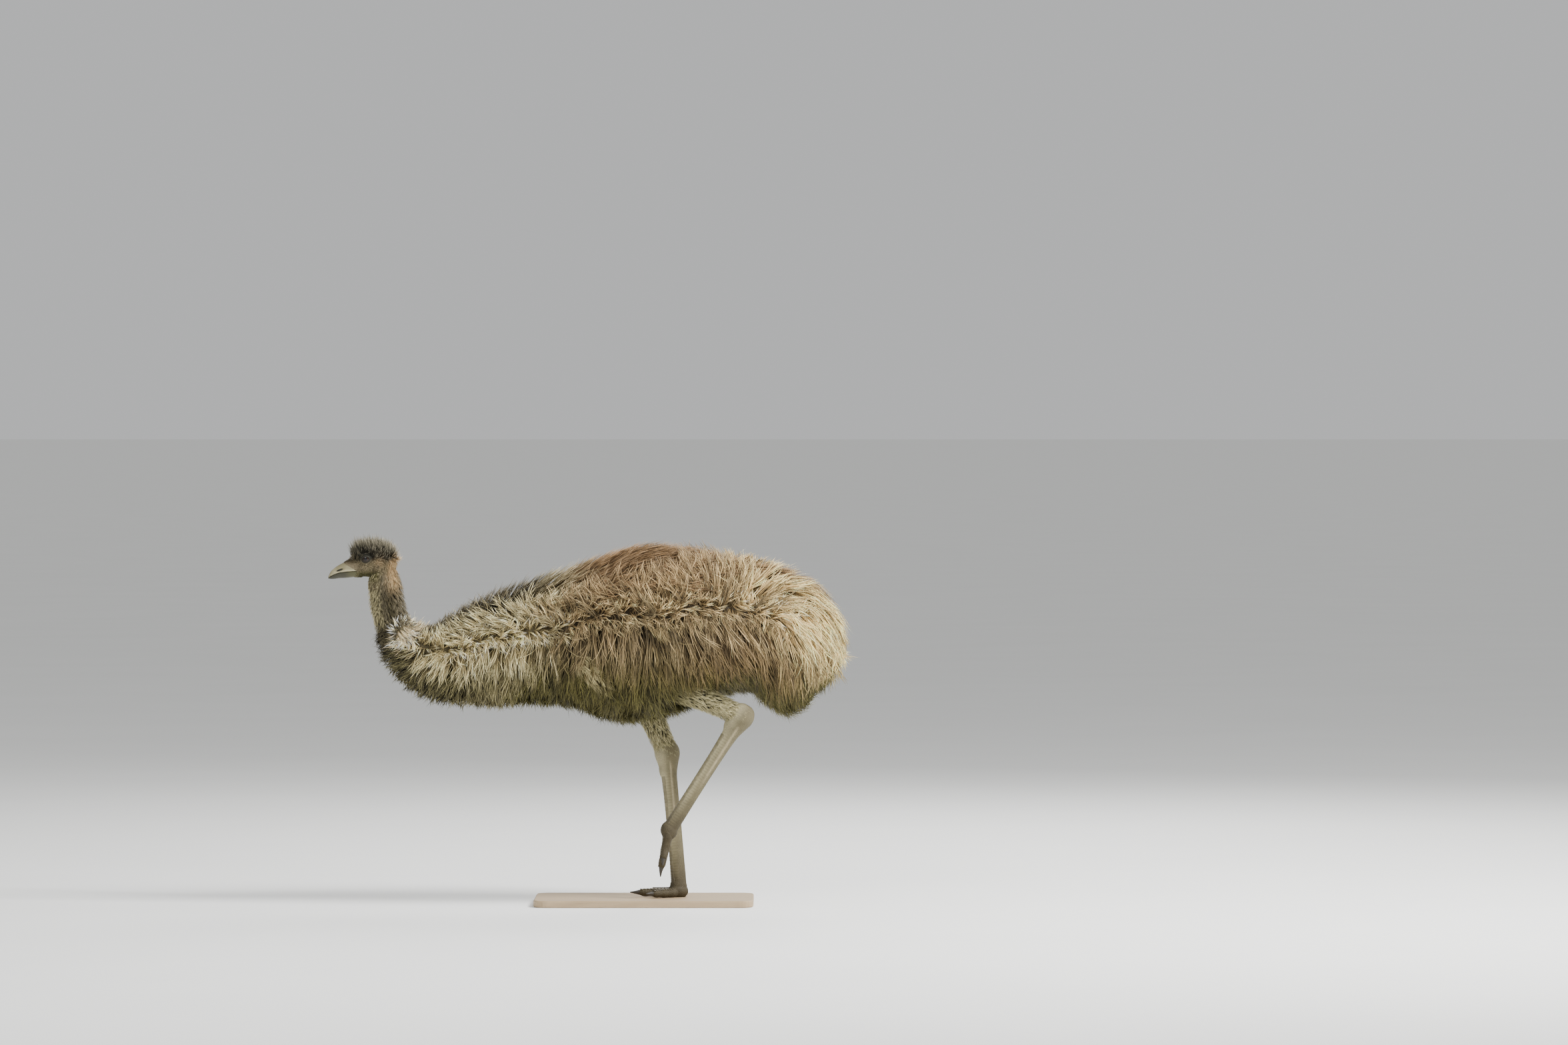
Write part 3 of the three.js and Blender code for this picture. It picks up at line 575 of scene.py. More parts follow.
def skin_material():
    """Small scales all over, and broad ones across the front of the shanks and toes."""
    s = Shader("skin", 0.66, 0.25)
    run, broad, fine = s.add("SeparateColor", {"Color": s.attribute("scales")}).outputs
    wave = s.math("SINE", s.math("MULTIPLY_ADD", s.noise(60), 1.4, run))
    band = s.math("POWER", s.math("ABSOLUTE", wave), 0.4)
    cells = s.add("TexVoronoi", {"Scale": 250, "Vector": s.places}, feature="DISTANCE_TO_EDGE")
    small = s.pick(fine, s.share(cells.outputs["Distance"], 0.35), s.noise(420))
    height = s.pick(broad, small, band)
    s.tinted(s.span(height, 0.74, 1.08), s.span(s.noise(55), 0.72, 1.28))
    s.raise_by(height, 0.6)
    return s.material


def scute_material():
    s = Shader("scutes", 0.5, 0.4)
    s.tinted(s.span(s.noise(120), 0.75, 1.22))
    s.raise_by(s.noise(420), 0.35)
    return s.material


def horn_material(name, roughness):
    s = Shader(name, roughness, 0.45)
    grain = s.grain(1, 3, 6)
    streaks = s.noise(70, vector=grain)
    s.tinted(s.span(streaks, 0.72, 1.25), s.span(s.noise(330), 0.85, 1.12))
    s.set("Roughness", s.span(streaks, roughness - 0.08, roughness + 0.12))
    s.raise_by(s.noise(240, vector=grain), 0.2)
    return s.material


def eye_material():
    """A dark pupil in a brown iris, by distance from the line through both eyes."""
    s = Shader("eye", 0.08, 0.35)
    places = s.add("SeparateXYZ", {"Vector": s.places}).outputs
    middle = in_frame([EYE["x"], EYE["y"], EYE["z"]])
    squares = [s.math("POWER", s.math("SUBTRACT", places[i], float(middle[i])), 2.0) for i in (0, 2)]
    distance = s.math("SQRT", s.math("ADD", *squares))
    ramp = s.add("ValToRGB", {"Fac": s.share(distance, EYE["radius"] * METRES)})
    pupil, iris = (EYE[name] / EYE["radius"] for name in ("pupil", "iris"))
    stops = [(pupil - 0.03, (0.003, 0.003, 0.003)), (pupil + 0.02, TONES["iris"]),
             (mix(pupil, iris, 0.7), TONES["iris_pale"]), (iris, TONES["iris_rim"]),
             (iris + 0.05, TONES["eyeball"])]
    elements = ramp.color_ramp.elements
    for i, (place, colour) in enumerate(stops):
        stop = elements[i] if i < 2 else elements.new(place)
        stop.position = place
        stop.color = (*colour, 1)
    s.set("Base Color", s.times(ramp.outputs["Color"], s.span(s.noise(900, 6), 0.6, 1.4)))
    return s.material


def base_material():
    s = Shader("base_finish", 0.45, 0.4)
    grain = s.grain(1, 14, 6)
    rings = s.noise(9, 6, grain)
    s.set("Base Color", s.blend(rings, "base_dark", "base_pale"))
    s.set("Roughness", s.span(rings, 0.38, 0.55))
    s.raise_by(s.noise(60, 6, grain), 0.12)
    return s.material


FEATHER = feather_material("feather", 0.6)
SHORT_FEATHER = feather_material("short_feather", 0.7)
SKIN = skin_material()
SCUTE = scute_material()
HORN = horn_material("bill_horn", 0.42)
CLAW_HORN = horn_material("claw_horn", 0.38)
EYE_GLASS = eye_material()


# The body's surface and its markings. Angles are in degrees from the back here.

CREASE = ([3.2, 4.2, 5.5, 8, 10, 12, 14], [40, 56, 68, 78, 78, 77, 74])
RUFFLES = ([3.2, 7.2, 8.2, 9, 10.7, 11.8, 12.8], [40, 36, 18, 9, 9, 19, 46])


def crease(n):
    """The angle at which the coat parts along either side. It wanders up and down."""
    wander = (2.6 * np.sin(2.3 * n + 0.6) + 1.8 * np.sin(5.1 * n)) * smooth(n, 4, 6)
    return np.interp(n, *CREASE) + wander


def skin_out(n, phi):
    """How far out the skin lies. It is nearer the outline along the parting."""
    depth = np.interp(n, np.arange(len(BODY)), BODY[:, 5])
    degrees = from_back(np.arctan2(np.sin(phi), np.cos(phi)))
    shallow = 0.5 * bump(degrees, crease(n), 11) * smooth(n, 3, 4.5) * smooth(n, 15.5, 14)
    return -SKIN_DEPTH * depth * (1 - shallow)


body = Tube([(x, 0, z) for x, z in BODY[:, :2]], BODY[:, 2:5], skin_out, pinch=PINCH)


def from_puff(n, degrees):
    """How far a place is from the middle of the pale whorl, in millimetres."""
    return np.hypot((n - PUFF[0]) * PUFF_STEP, degrees - PUFF[1])


def ruffles_from(n):
    """The angle from which the feathers above the parting are ruffled."""
    return crease(n) - np.interp(n, *RUFFLES)


def markings(n, phi):
    """Root and tip colours of the coat."""
    n, phi = np.broadcast_arrays(np.asarray(n, float), phi)
    part = crease(n)
    top = ruffles_from(n)
    neck = smooth(n + 1.5 * smooth(phi, part + 4, 125) + 0.3 * unevenness(n * 2.2, phi / 14, 6), 9.3, 7.9)
    dark = part - 40 + 28 * bump(n, 4.4, 0.9)
    late = n - 2 * smooth(phi, part - 6, part + 8)
    rear = 30 * smooth(n, 13.5, 15)
    puff = from_puff(n, phi)
    upper = smooth(n, 3.4, 3.0) * smooth(puff, 32, PUFF_REACH)
    return layered(TONES["flank"], ((share, TONES[name]) for share, name in (
        (smooth(phi, top + 2, top - 6), "back"),
        (smooth(phi, top - 5, top + 3) * smooth(phi, part + 3, part - 2), "ruffle"),
        (0.07 * bump(phi, part, 9), "neck_pale"),
        # the underside's own dark colour, with painted shade and painted green bounce light
        (smooth(phi, 76, 104), "belly"),
        (0.55 * bump(n, 13.3, 1.9) * smooth(phi, part, part + 10) * smooth(phi, 118, 98), "back"),
        # the pale rear: partly its own pale feathers and partly a painted highlight of sunlight
        (smooth(late, 12.1, 14.3) * smooth(phi, 106, 66) * smooth(phi, 10 - rear, 34 - rear), "rump"),
        (neck, "neck_pale"),
        (neck * smooth(phi, dark + 18, dark), "neck_dark"),
        # the neck's underside: its own dark colour, with painted shade and painted green bounce light
        (neck * smooth(phi, 80, 104), "neck_under"),
        (smooth(n, 5.2, 4.4) * smooth(phi, 66, 82), "neck_under"),
        (smooth(puff, PUFF_REACH, 29), "puff"),
        (upper, "hindneck"),
        (upper * bump(phi, 76, 27) * smooth(n, 0.7, 1.6), "dark_band"),
        (upper * smooth(phi, 98, 112), "throat"),
        # painted rim light along the front of the upper neck
        (upper * smooth(phi, 160, 172), "neck_rim"),
        (smooth(n, 2.4, 3.1) * smooth(n, 4.4, 3.6) * smooth(phi, 84, 100), "dark_band"),
        (bump(n, 0.8, 0.52) * bump(phi, 46, 27), "nape"),
    )))


# Feathers. A clump is a guide that follows the body, and strands that draw together towards its tip.

def spread(tube, start, end, spacing):
    """Places on a tube's skin about spacing apart, in rows round it: their stations and angles."""
    fine = np.linspace(start, end, 400)
    steps = np.linalg.norm(np.diff(tube.point(fine, math.pi / 2), axis=0), axis=1)
    run = np.concatenate([[0], np.cumsum(steps)])
    rows = max(int(run[-1] / spacing), 1)
    stations, angles = [], []
    around = np.linspace(0, 2 * math.pi, 121)
    for row in range(rows):
        n = np.interp((row + 0.5) / rows * run[-1], run, fine)
        ring = tube.point(n, around, tube.skin(n, around))
        girth = np.concatenate([[0], np.cumsum(np.linalg.norm(np.diff(ring, axis=0), axis=1))])
        count = max(int(girth[-1] / spacing), 6)
        share = (np.arange(count) + 0.5 * (row % 2) + draw.uniform(-0.45, 0.45, count)) / count
        angles.append(np.interp((share % 1) * girth[-1], girth, around))
        stations.append(n + draw.uniform(-0.45, 0.45, count) * spacing * (end - start) / run[-1])
    phi = np.concatenate(angles)
    return np.concatenate(stations), np.where(phi > math.pi, phi - 2 * math.pi, phi)


def guides(tube, looks, pieces, rise=0.55):
    """Points along each clump's guide, and the ways out of the body there."""
    n, phi = looks["n"].copy(), looks["phi"].copy()
    side = np.sign(phi) + (phi == 0)
    step = looks["length"] / pieces
    points, outs = [], []
    for s in np.arange(pieces + 1) / pieces:
        out = mix(looks["root"], looks["tip"], s**rise)
        here = tube.point(n, phi, out)
        outs.append(unit(tube.point(n, phi, out + 4) - here))
        here[:, 2] -= looks["droop"] * s * s
        points.append(here)
        way = np.radians(looks["lie"] + looks["curl"] * s)
        along, around = tube.speed(n, phi, out)
        n = n + np.cos(way) * step / along
        phi = phi + side * np.sin(way) * step / around
    return np.stack(points, axis=1), np.stack(outs, axis=1)


def frames(points, outs):
    """Ways along, aside and up at each point of each line."""
    along = unit(np.gradient(points, axis=1))
    aside = unit(np.cross(along, outs))
    return along, aside, np.cross(aside, along)


def strands_from(points, outs, count, radius, gather, curl):
    """Count strands round each guide. They start within radius and draw together by the gather share."""
    clumps, sections = points.shape[:2]
    each = (clumps, count, 1, 1)
    s = np.linspace(0, 1, sections)[None, None, :, None]
    angle = draw.uniform(0, 2 * math.pi, each)
    reach = np.sqrt(draw.uniform(0, 1, each)) * radius
    close = 1 - gather[:, None, None, None] * s**0.8
    wave = draw.normal(0, 1, (2, *each)) * curl * s**1.6
    phase = draw.uniform(0, 2 * math.pi, (clumps, 1, 1, 1)) + draw.normal(0, 0.5, each)
    ripple = RIPPLE * curl * (np.sin(5.5 * s + phase) - np.sin(phase))
    along, aside, up = (way[:, None] for way in frames(points, outs))
    full = (points[:, None] + aside * (reach * np.cos(angle) * close + wave[0] + ripple)
            + along * (reach * np.sin(angle)) + up * (np.abs(wave[1]) * 0.8 - 0.2 * curl) * s)
    start = full[:, :, :1]
    full = start + (full - start) * (1 + draw.uniform(-TRIM, TRIM, each))
    ups = np.broadcast_to(outs[:, None], full.shape)
    return (full.reshape(-1, sections, 3), ups.reshape(-1, sections, 3),
            np.repeat(np.arange(clumps), count))


def shades(count, owner, spread_each, spread_clump, streaks=1.0):
    """A brightness for each strand, with some pale and some dark ones."""
    light = draw.normal(1, spread_clump, count)[owner] * draw.normal(1, spread_each, len(owner))
    kind = draw.uniform(0, 1, len(owner))
    light = light * (1 + streaks * (0.42 * (kind < 0.14) - 0.48 * (kind > 0.76)))
    return np.clip(light, 0.3, 2.0)


def strands(tube, looks, pieces, each, radius, gather, curl, shade, width):
    """Lines, ways up, clump, brightness and width of every strand of the clumps."""
    points, outs = guides(tube, looks, pieces)
    tight = draw.uniform(*gather, len(points))
    lines, ups, owner = strands_from(points, outs, each, radius, tight, curl)
    light = shades(len(points), owner, *shade)
    return lines, ups, owner, light, draw.uniform(*width, len(owner))


def places_of(n, phi, span):
    """Places on the unwrap of a skin that is span stations long."""
    return np.stack([n / span, (phi / (2 * math.pi)) % 1], axis=1)


def blades(points, outs, width, thick):
    """Rings of three points along each line, the last one a single tip."""
    s = np.arange(points.shape[1] - 1) / (points.shape[1] - 1)
    _, aside, up = (way[:, :-1] for way in frames(points, outs))
    half = (width[:, None] / 2 * np.minimum(0.55 + 2.2 * s, 1) * (1 - s**2.2 * 0.55))[..., None]
    middle = points[:, :-1]
    rings = np.stack([middle - aside * half, middle + up * half * 2 * thick, middle + aside * half], axis=2)
    return np.concatenate([rings.reshape(len(points), -1, 3), points[:, -1:]], axis=1)


def blade_faces(sections):
    """Corners and sizes of the faces of one blade."""
    tip = 3 * sections
    last = tip - 3 + np.arange(3)
    quads = grid(sections, 3)[:-3]
    fan = np.stack([last, np.full(3, tip), np.roll(last, -1)], axis=1)
    return np.concatenate([[0, 1, 2], quads.ravel(), fan.ravel()]), [3] + [4] * len(quads) + [3] * 3


def coat_piece(name, slot, material, points, outs, width, tints, places, thick=0.3):
    """Thin closed blades along the points. Tints are the colours at the root and the tip of each."""
    far = np.maximum(np.abs(points[..., 1]) - WIDEST, 0)
    points[..., 1] -= np.sign(points[..., 1]) * PRESSED * far
    count, sections = len(points), points.shape[1] - 1
    verts = blades(points, outs, width, thick)
    template, sizes = blade_faces(sections)
    corners = template + verts.shape[1] * np.arange(count)[:, None]
    thing = mesh_object(name, verts.reshape(-1, 3), corners.ravel(), np.tile(sizes, count), material)
    # Colours run from root to tip, with painted shade darkening each feather towards its root.
    level = np.append(np.repeat(np.arange(sections) / sections, 3), 1.0)
    low, high = (np.clip(v, 0, 1)[None, :, None] for v in (level * 2.0, level * 1.9 - 0.9))
    root, tip = tints[:, None, 0], tints[:, None, 1]
    paint(thing, np.minimum(mix(mix(ROOT_SHADE * root, root, low), tip, high), PALEST).reshape(-1, 3))
    # A small patch of the unwrapped skin for each strand.
    lane = np.append(np.tile([0.0, 0.5, 1.0], sections), 0.5)
    local = np.stack([level, lane], axis=1) * PATCH
    uv = (places[:, None] * (1 - PATCH) + local)[:, template].reshape(-1, 2)
    layer = thing.data.uv_layers.new(name="OFBake")
    layer.data.foreach_set("uv", uv.astype(np.float32).ravel())
    dress(thing, slot)


# The long feathers. Where they point is 0 to the tail, 90 down round the body and -90 up it.

UPRIGHT = ([3.2, 4.5, 5.5, 6.5, 7.5, 8.5, 10, 12, 13.2, 14.2],
           [-72, -86, -106, -134, -138, -114, -102, -96, -72, -40])
HANGING = ([3.2, 5, 8, 9.5, 10.7, 11.6, 12.6, 14], [122, 116, 112, 103, 92, 80, 64, 46])
BELLY_LIE = ([3.2, 5, 9, 14], [100, 88, 60, 35])
STREAMING = ([0, 30, 57, 86, 117, 150, 180], [4, 10, 24, 42, 54, 46, 26])
LENGTHS = ([3.2, 4, 6, 8, 10, 13, 14.5, 16, 17, 17.7], [28, 44, 72, 90, 118, 142, 156, 128, 80, 52])
DROOPS = ([3, 8, 13, 15, 17.7], [2, 5, 8, 16, 24])
CUTS = [(2, 5.6, "neck_middle"), (5.6, NECK_END, "neck_lower"), (NECK_END, 9.2, "shoulder"),
        (9.2, 10.4, "chest"), (10.4, 11.6, "midriff"), (11.6, 12.8, "loin"), (12.8, 14, "hip"),
        (14, 15.6, "rump"), (15.6, 19, "tail")]
SHORT_CUTS = [(2, 5.6, "puff"), (5.6, 19, "parting")]


def lie_of_coat(n, degrees, above):
    """The way the feathers point."""
    top = ruffles_from(n)
    raised = np.interp(n, *UPRIGHT) * smooth(degrees, top - 8, top + 2)
    lowered = mix(np.interp(n, *HANGING), np.interp(n, *BELLY_LIE), smooth(degrees, 135, 175))
    lie = mix(np.interp(degrees, *STREAMING), np.where(above, raised, lowered), smooth(n, 14.4, 13.2))
    # Feathers of the pale whorl lie round its middle.
    whorl = np.degrees(np.arctan2(degrees - PUFF[1], (n - PUFF[0]) * PUFF_STEP)) + 32
    return np.where(from_puff(n, degrees) < PUFF_REACH, whorl, lie)


def long_coat(n, phi, seed):
    """Looks of the clumps from the bend of the neck to the tail."""
    count = len(n)
    degrees = from_back(phi)
    part = crease(n) + 3 * unevenness(n * 1.7, phi, seed)
    top = part - np.interp(n, *RUFFLES)
    above = degrees + draw.normal(0, 3.5, count) < part
    ruffle = smooth(degrees, top - 8, top + 2) * above * smooth(n, 14.4, 13.2)
    neck = smooth(n, 8.8, 7.6)
    on_back = smooth(degrees, top + 2, top - 8) * above
    sleek = on_back * (1 - neck) * smooth(n, 14.6, 13)
    in_puff = from_puff(n, degrees) < 40
    turn = 11 + 12 * ruffle * smooth(n, 7.6, 9) - 7 * sleek
    lie = lie_of_coat(n, degrees, above) + turn * (unevenness(n, phi, seed) + draw.normal(0, 0.8, count))
    # Some feathers on the parting lie along it and hide it.
    along_part = (np.abs(degrees - part) < 6) & (draw.uniform(0, 1, count) < 0.3) & (n < 14)
    lie = np.where(along_part, draw.normal(20, 40, count), lie)
    length = np.interp(n, *LENGTHS) * mix(1, 0.72, ruffle) * mix(1, 0.8, smooth(degrees, 125, 165))
    length *= mix(1, 0.62, neck * on_back) * draw.uniform(0.78, 1.2, count)
    length = np.where(in_puff | along_part, np.minimum(length, 40), length)
    tip = (12 * ruffle + 15 * neck * on_back + 6 * smooth(n, 13.4, 14.6) * smooth(degrees, 70, 30)
           + 6 * in_puff + draw.normal(0, 3, count) * (1 - 0.7 * sleek))
    curl = -26 * ruffle + 18 * unevenness(n * 1.3, phi, seed + 4) + draw.normal(0, 16, count)
    droop = np.interp(n, *DROOPS) * smooth(degrees, 20, 100) + 8 * smooth(degrees, 140, 170)
    return {"n": n, "phi": phi, "degrees": degrees, "lie": lie, "length": length, "tip": tip,
            "curl": curl * (1 - 0.6 * sleek), "droop": droop, "root": skin_out(n, phi) - 4}


def stray_coat():
    """Single loose feathers that stand a little out of the coat and curl."""
    looks = long_coat(*spread(body, *COAT_SPAN, SPACING["stray"]), 2)
    count = len(looks["n"])
    loose = 1 - 0.65 * smooth(looks["degrees"], 50, 30) * smooth(looks["n"], 8, 9)
    looks["lie"] += draw.normal(0, 22, count) * loose
    looks["curl"] += draw.normal(0, 36, count) * loose
    looks["tip"] += np.abs(draw.normal(0, 5, count)) * loose
    looks["length"] *= draw.uniform(0.75, 1.05, count)
    return looks


def dense_coat():
    """Short tufts that fill the parting and the pale whorl."""
    n, phi = spread(body, 3.0, 15.2, SPACING["dense"])
    degrees = from_back(phi)
    gap = degrees - crease(n)
    fill = (np.abs(gap) < 7) & (n > 4.3)
    kept = fill | (from_puff(n, degrees) < PUFF_REACH)
    n, phi, fill, gap = n[kept], phi[kept], fill[kept], gap[kept]
    looks = long_coat(n, phi, 3)
    count = len(n)
    upward = draw.uniform(0, 1, count) < smooth(gap, 5, -5)
    fan = np.where(upward, -60, 62) + draw.normal(0, 38, count)
    looks["lie"] = np.where(fill, fan, looks["lie"])
    length = np.where(fill, np.interp(n, [4, 8, 12], [26, 40, 52]), 28)
    looks["length"] = length * draw.uniform(0.7, 1.2, count)
    sunk = np.interp(n, [5, 8, 10], [-2, -3, -5])
    looks["tip"] = np.where(fill, sunk + draw.normal(0, 4, count), draw.normal(3, 2, count))
    looks["curl"] = draw.normal(0, 26, count)
    looks["droop"] = 0 * n
    return looks


def joints(leg, *names):
    """The places of some of a leg's joints."""
    return np.array([leg[name] for name in names], float)


def clear_of_legs(points):
    """How far along each guide it may grow before it runs into the feathered part of a leg."""
    keep = np.ones(len(points))
    for leg in LEGS.values():
        a, b = joints(leg, "knee", "hock")
        t = np.clip(((points - a) @ (b - a)) / ((b - a) @ (b - a)), 0.1, 1.05)
        gap = np.linalg.norm(points - (a + t[..., None] * (b - a)), axis=-1)
        inside = gap < np.interp(t, *zip(*leg["calf"])) * CALF_FLAT - 4
        inside[:, 0] = False
        pieces = points.shape[1] - 1
        first = np.where(inside.any(1), inside.argmax(1), pieces + 1)
        keep = np.minimum(keep, (first - 1) / pieces)
    return keep


def layer_of(looks, pieces, lift, thin, **style):
    """A layer of the long coat: lines, ways up, station, angle, brightness and width of the strands."""
    room = clear_of_legs(guides(body, looks, pieces)[0])
    looks["length"] *= room
    looks = {key: value[room > 0.3] for key, value in looks.items()}
    style = {"shade": (0.2, 0.18), "width": (2.0, 3.5), **style}
    lines, ups, owner, light, width = strands(body, looks, pieces, **style)
    n, phi = looks["n"][owner], looks["phi"][owner]
    patch = 1.04 + 0.22 * unevenness(n * 1.6, phi * 1.6, 9)
    pale = 1 + 0.35 * smooth(from_puff(n, from_back(phi)), 50, 30)
    width = width * np.interp(n, [3.2, 6, 10], [0.55, 0.8, 1]) * thin
    return lines, ups, n, phi, lift * light * patch * pale, width


def plant(layers, cuts):
    """Makes coat pieces, one on either side of the bird for each stretch of stations in cuts."""
    lines, ups, n, phi, light, width = (np.concatenate(column) for column in zip(*layers))
    tints = markings(n, from_back(phi)) * light[:, None, None]
    places = places_of(n, phi, body.last)
    for low, high, name in cuts:
        slot = "neck_coat" if high <= NECK_END else "coat"
        for side, here in (("left", phi < 0), ("right", phi >= 0)):
            pick = (n >= low) & (n < high) & here
            coat_piece(f"coat_{name}_{side}", slot, FEATHER, lines[pick], ups[pick], width[pick],
                       tints[pick], places[pick])


def grow_long_coat():
    clumps = long_coat(*spread(body, *COAT_SPAN, SPACING["coat"]), 1)
    plant([layer_of(clumps, 4, lift=1.0, thin=1.0, each=7, radius=11, gather=(0.06, 0.6), curl=7),
           layer_of(stray_coat(), 4, lift=1.25, thin=0.66, each=1, radius=3, gather=(0, 0), curl=9)], CUTS)
    plant([layer_of(dense_coat(), 2, lift=1.75, thin=0.76, each=3, radius=4.5, gather=(0.05, 0.5), curl=3)],
          SHORT_CUTS)


# The skin.

def limb_tube(leg, start, end, sizes, skin=0.0):
    a, b = joints(leg, start, end)
    places = [mix(a, b, row[0]) for row in sizes]
    return Tube(places, [(row[1], row[1], row[2]) for row in sizes], skin)


def calf_tube(leg):
    sizes = [(t, thick, thick * CALF_FLAT) for t, thick in leg["calf"]]
    return limb_tube(leg, "knee", "hock", sizes, -CALF_INSET)


def wing_tube(side):
    at = [body.point(n, side * math.radians(phi), out) for n, phi, out, _, _ in WING]
    across = unit(np.cross((0, side, 0), unit(at[-1] - at[0])))
    return Tube(at, [(thick, thick, wide) for _, _, _, thick, wide in WING], -WING_INSET, across)


def toes_of(name):
    """Name, root, way, length and claw of each toe of a foot."""
    foot = FEET[name]
    x, _, z = foot["way"]
    for which, (length, splay, claw) in TOES.items():
        turn = math.radians(splay) * foot["fold"]
        way = unit((x * math.cos(turn), math.hypot(x, z) * math.sin(turn), z * math.cos(turn)))
        root = np.array(foot["toes"], float) + way * foot["toes_at"]
        root[1] += np.sign(splay) * foot["apart"]
        yield which, root, way, length, claw


def toe_loops(root, way, length, across):
    """A toe with pads below its joints."""
    t = np.linspace(0, 1, 33)[:, None]
    thick = TOE["thick"] * mix(1, TOE["taper"], t) * (1 - 0.35 * smooth(t, 0.9, 1.04))
    pad = thick * (1.0 + 0.07 * np.cos(2 * math.pi * (t * 3 + 0.5)))
    high = np.where(np.cos(turns(24)) > 0, thick * 0.95, pad * 0.97)
    return rod(root + way * (length * t), np.cross(way, across), across, high, pad, 24)


def torso_parts():
    parts = [loft("body", tube_loops(body, 160, 72, 0.6))]
    parts += [loft("calf", tube_loops(calf_tube(leg), 40, 40)) for leg in LEGS.values()]
    return parts + [loft("wing", tube_loops(wing_tube(side), 24, 24)) for side in SIDES.values()]


def bill_cover(half):
    """Skin over the back of one half of the bill, sunk into the horn in front of its edge."""
    loops = bill_rings(half)
    loops = loops[loops[:, 0, 0] > NOSTRIL["x"] - 4]
    (ridge_x, ridge_z), (corner_x, corner_z) = BILL_COVER["ridge"], BILL_COVER["corner"]
    slope = (ridge_x - corner_x) / (ridge_z - corner_z)
    edge = corner_x + (loops[..., 2] - corner_z) * slope * (1 if half > 0 else -0.4)
    out = mix(-7, BILL_COVER["thick"], smooth(loops[..., 0] - edge, -8, 5))
    away = loops - loops.mean(axis=1, keepdims=True)
    away[..., 0] = 0
    return loft("cover", loops + unit(away) * out[..., None])


def head_parts():
    head = Tube([(x, 0, z) for x, z in HEAD[::-1, :2]], HEAD[::-1, 2:5], -HEAD_INSET)
    parts = [loft("head", tube_loops(head, 60, 60)),
             loft("neck", tube_loops(body, 30, 60, 0, 1.4, -HEAD_INSET - 1)), bill_cover(1), bill_cover(-1)]
    for side in SIDES.values():
        parts += [
            ellipsoid("brow", (EYE["x"] - 4, side * 22, EYE["z"] + 13), (19, 9, 6)),
            ellipsoid("cheek", (-904, side * 18, 960), (30, 12, 13)),
            torus("orbit", (EYE["x"], side * 26, EYE["z"]), 14.5, 3.4, 0.88),
            torus("ear", (EAR["x"], side * (EAR["y"] - 2), EAR["z"]), EAR["radius"] + 1, 2.6),
        ]
    return parts


def leg_parts(name):
    leg, foot = LEGS[name], FEET[name]
    shank = limb_tube(leg, "hock", "ball", SHANK)
    tendon = limb_tube(leg, "hock", "ball", [(row[0], TENDON["thick"], TENDON["wide"]) for row in SHANK[4:]])
    ball, pad = np.array(leg["ball"], float), np.array(foot["pad"])
    parts = [
        loft("shank", tube_loops(shank, 90, 48)),
        loft("tendon", tube_loops(tendon, 60, 24) + unit(foot["behind"]) * TENDON["behind"]),
        ellipsoid("knob", shank.point(4.6, math.pi, -20), (22, 20, 36)),
        ellipsoid("pad", pad, foot["radii"]),
        ellipsoid("ankle", mix(ball, pad, 0.35), (25, 23, 28)),
    ]
    for _, root, way, length, _ in toes_of(name):
        across = unit(np.cross((0, 0, 1), way)) if name == "right" else np.array([0.0, 1.0, 0.0])
        parts.append(loft("toe", toe_loops(root, way, length, across)))
    return parts


def make_skin():
    shells = [fused(torso_parts(), SKIN_GRID["torso"], 3), fused(head_parts(), SKIN_GRID["head"])]
    shells += [fused(leg_parts(name), SKIN_GRID["leg"]) for name in LEGS]
    skin = merged("skin", shells)
    skin.data.materials.clear()
    skin.data.materials.append(SKIN)
    skin.data.shade_smooth()
    colour, scales = skin_looks(points_of(skin))
    paint(skin, colour)
    paint(skin, scales, "scales")
    covered = ("head", "neck", "torso", "tail", "wing", "leg", "tarsus", "foot", "toe")
    dress(skin, "head_coat", *(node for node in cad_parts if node.split("_")[0] in covered))
    return skin


def nearest_station(points):
    """Station and angle on the body's axis nearest to each point."""
    every, at_once = 4, 20000  # places on the axis that are tried, and points in a block
    axis = body.line[::every]
    blocks = np.array_split(points, len(points) // at_once + 1)
    nearest = [((block[:, None] - axis) ** 2).sum(-1).argmin(1) for block in blocks]
    n = np.concatenate(nearest) * every / Tube.FINE
    at, _, _, up, _ = body.read(n)
    return n, np.degrees(np.arctan2(np.abs(points[:, 1] - at[:, 1]), ((points - at) * up).sum(-1)))


def face_looks(points, colour):
    """The bare skin of the face, with painted shade in the ear opening and a greenish chin."""
    x, y, z = points.T
    hole = bump(np.hypot(x - EAR["x"], z - EAR["z"]), 0, EAR["radius"]) * (np.abs(y) > 12)
    eye = bump(np.hypot(x - EYE["x"], (z - EYE["z"]) * 1.15), 12, 5) * (np.abs(y) > 15)
    face = layered(TONES["bare_face"], [
        (0.8 * smooth(z, 962, 944), TONES["chin"][0]),
        (0.7 * smooth(x, -925, -895), TONES["face"][0]),
        (smooth(z, 980, 992) * smooth(x, -965, -948), TONES["crown"][0]),
        # painted shade in the ear opening
        (hole, TONES["nostril"] * 0.6),
        (0.7 * eye, TONES["crown"][0]),
    ])
    return mix(colour, face, (smooth(z, 905, 935) * smooth(x, -800, -830))[:, None])


def leg_shadow(t):
    """How much painted shadow darkens a leg at the share t of the way from its hock to its ball."""
    return smooth(t, 0.6, 1.05)


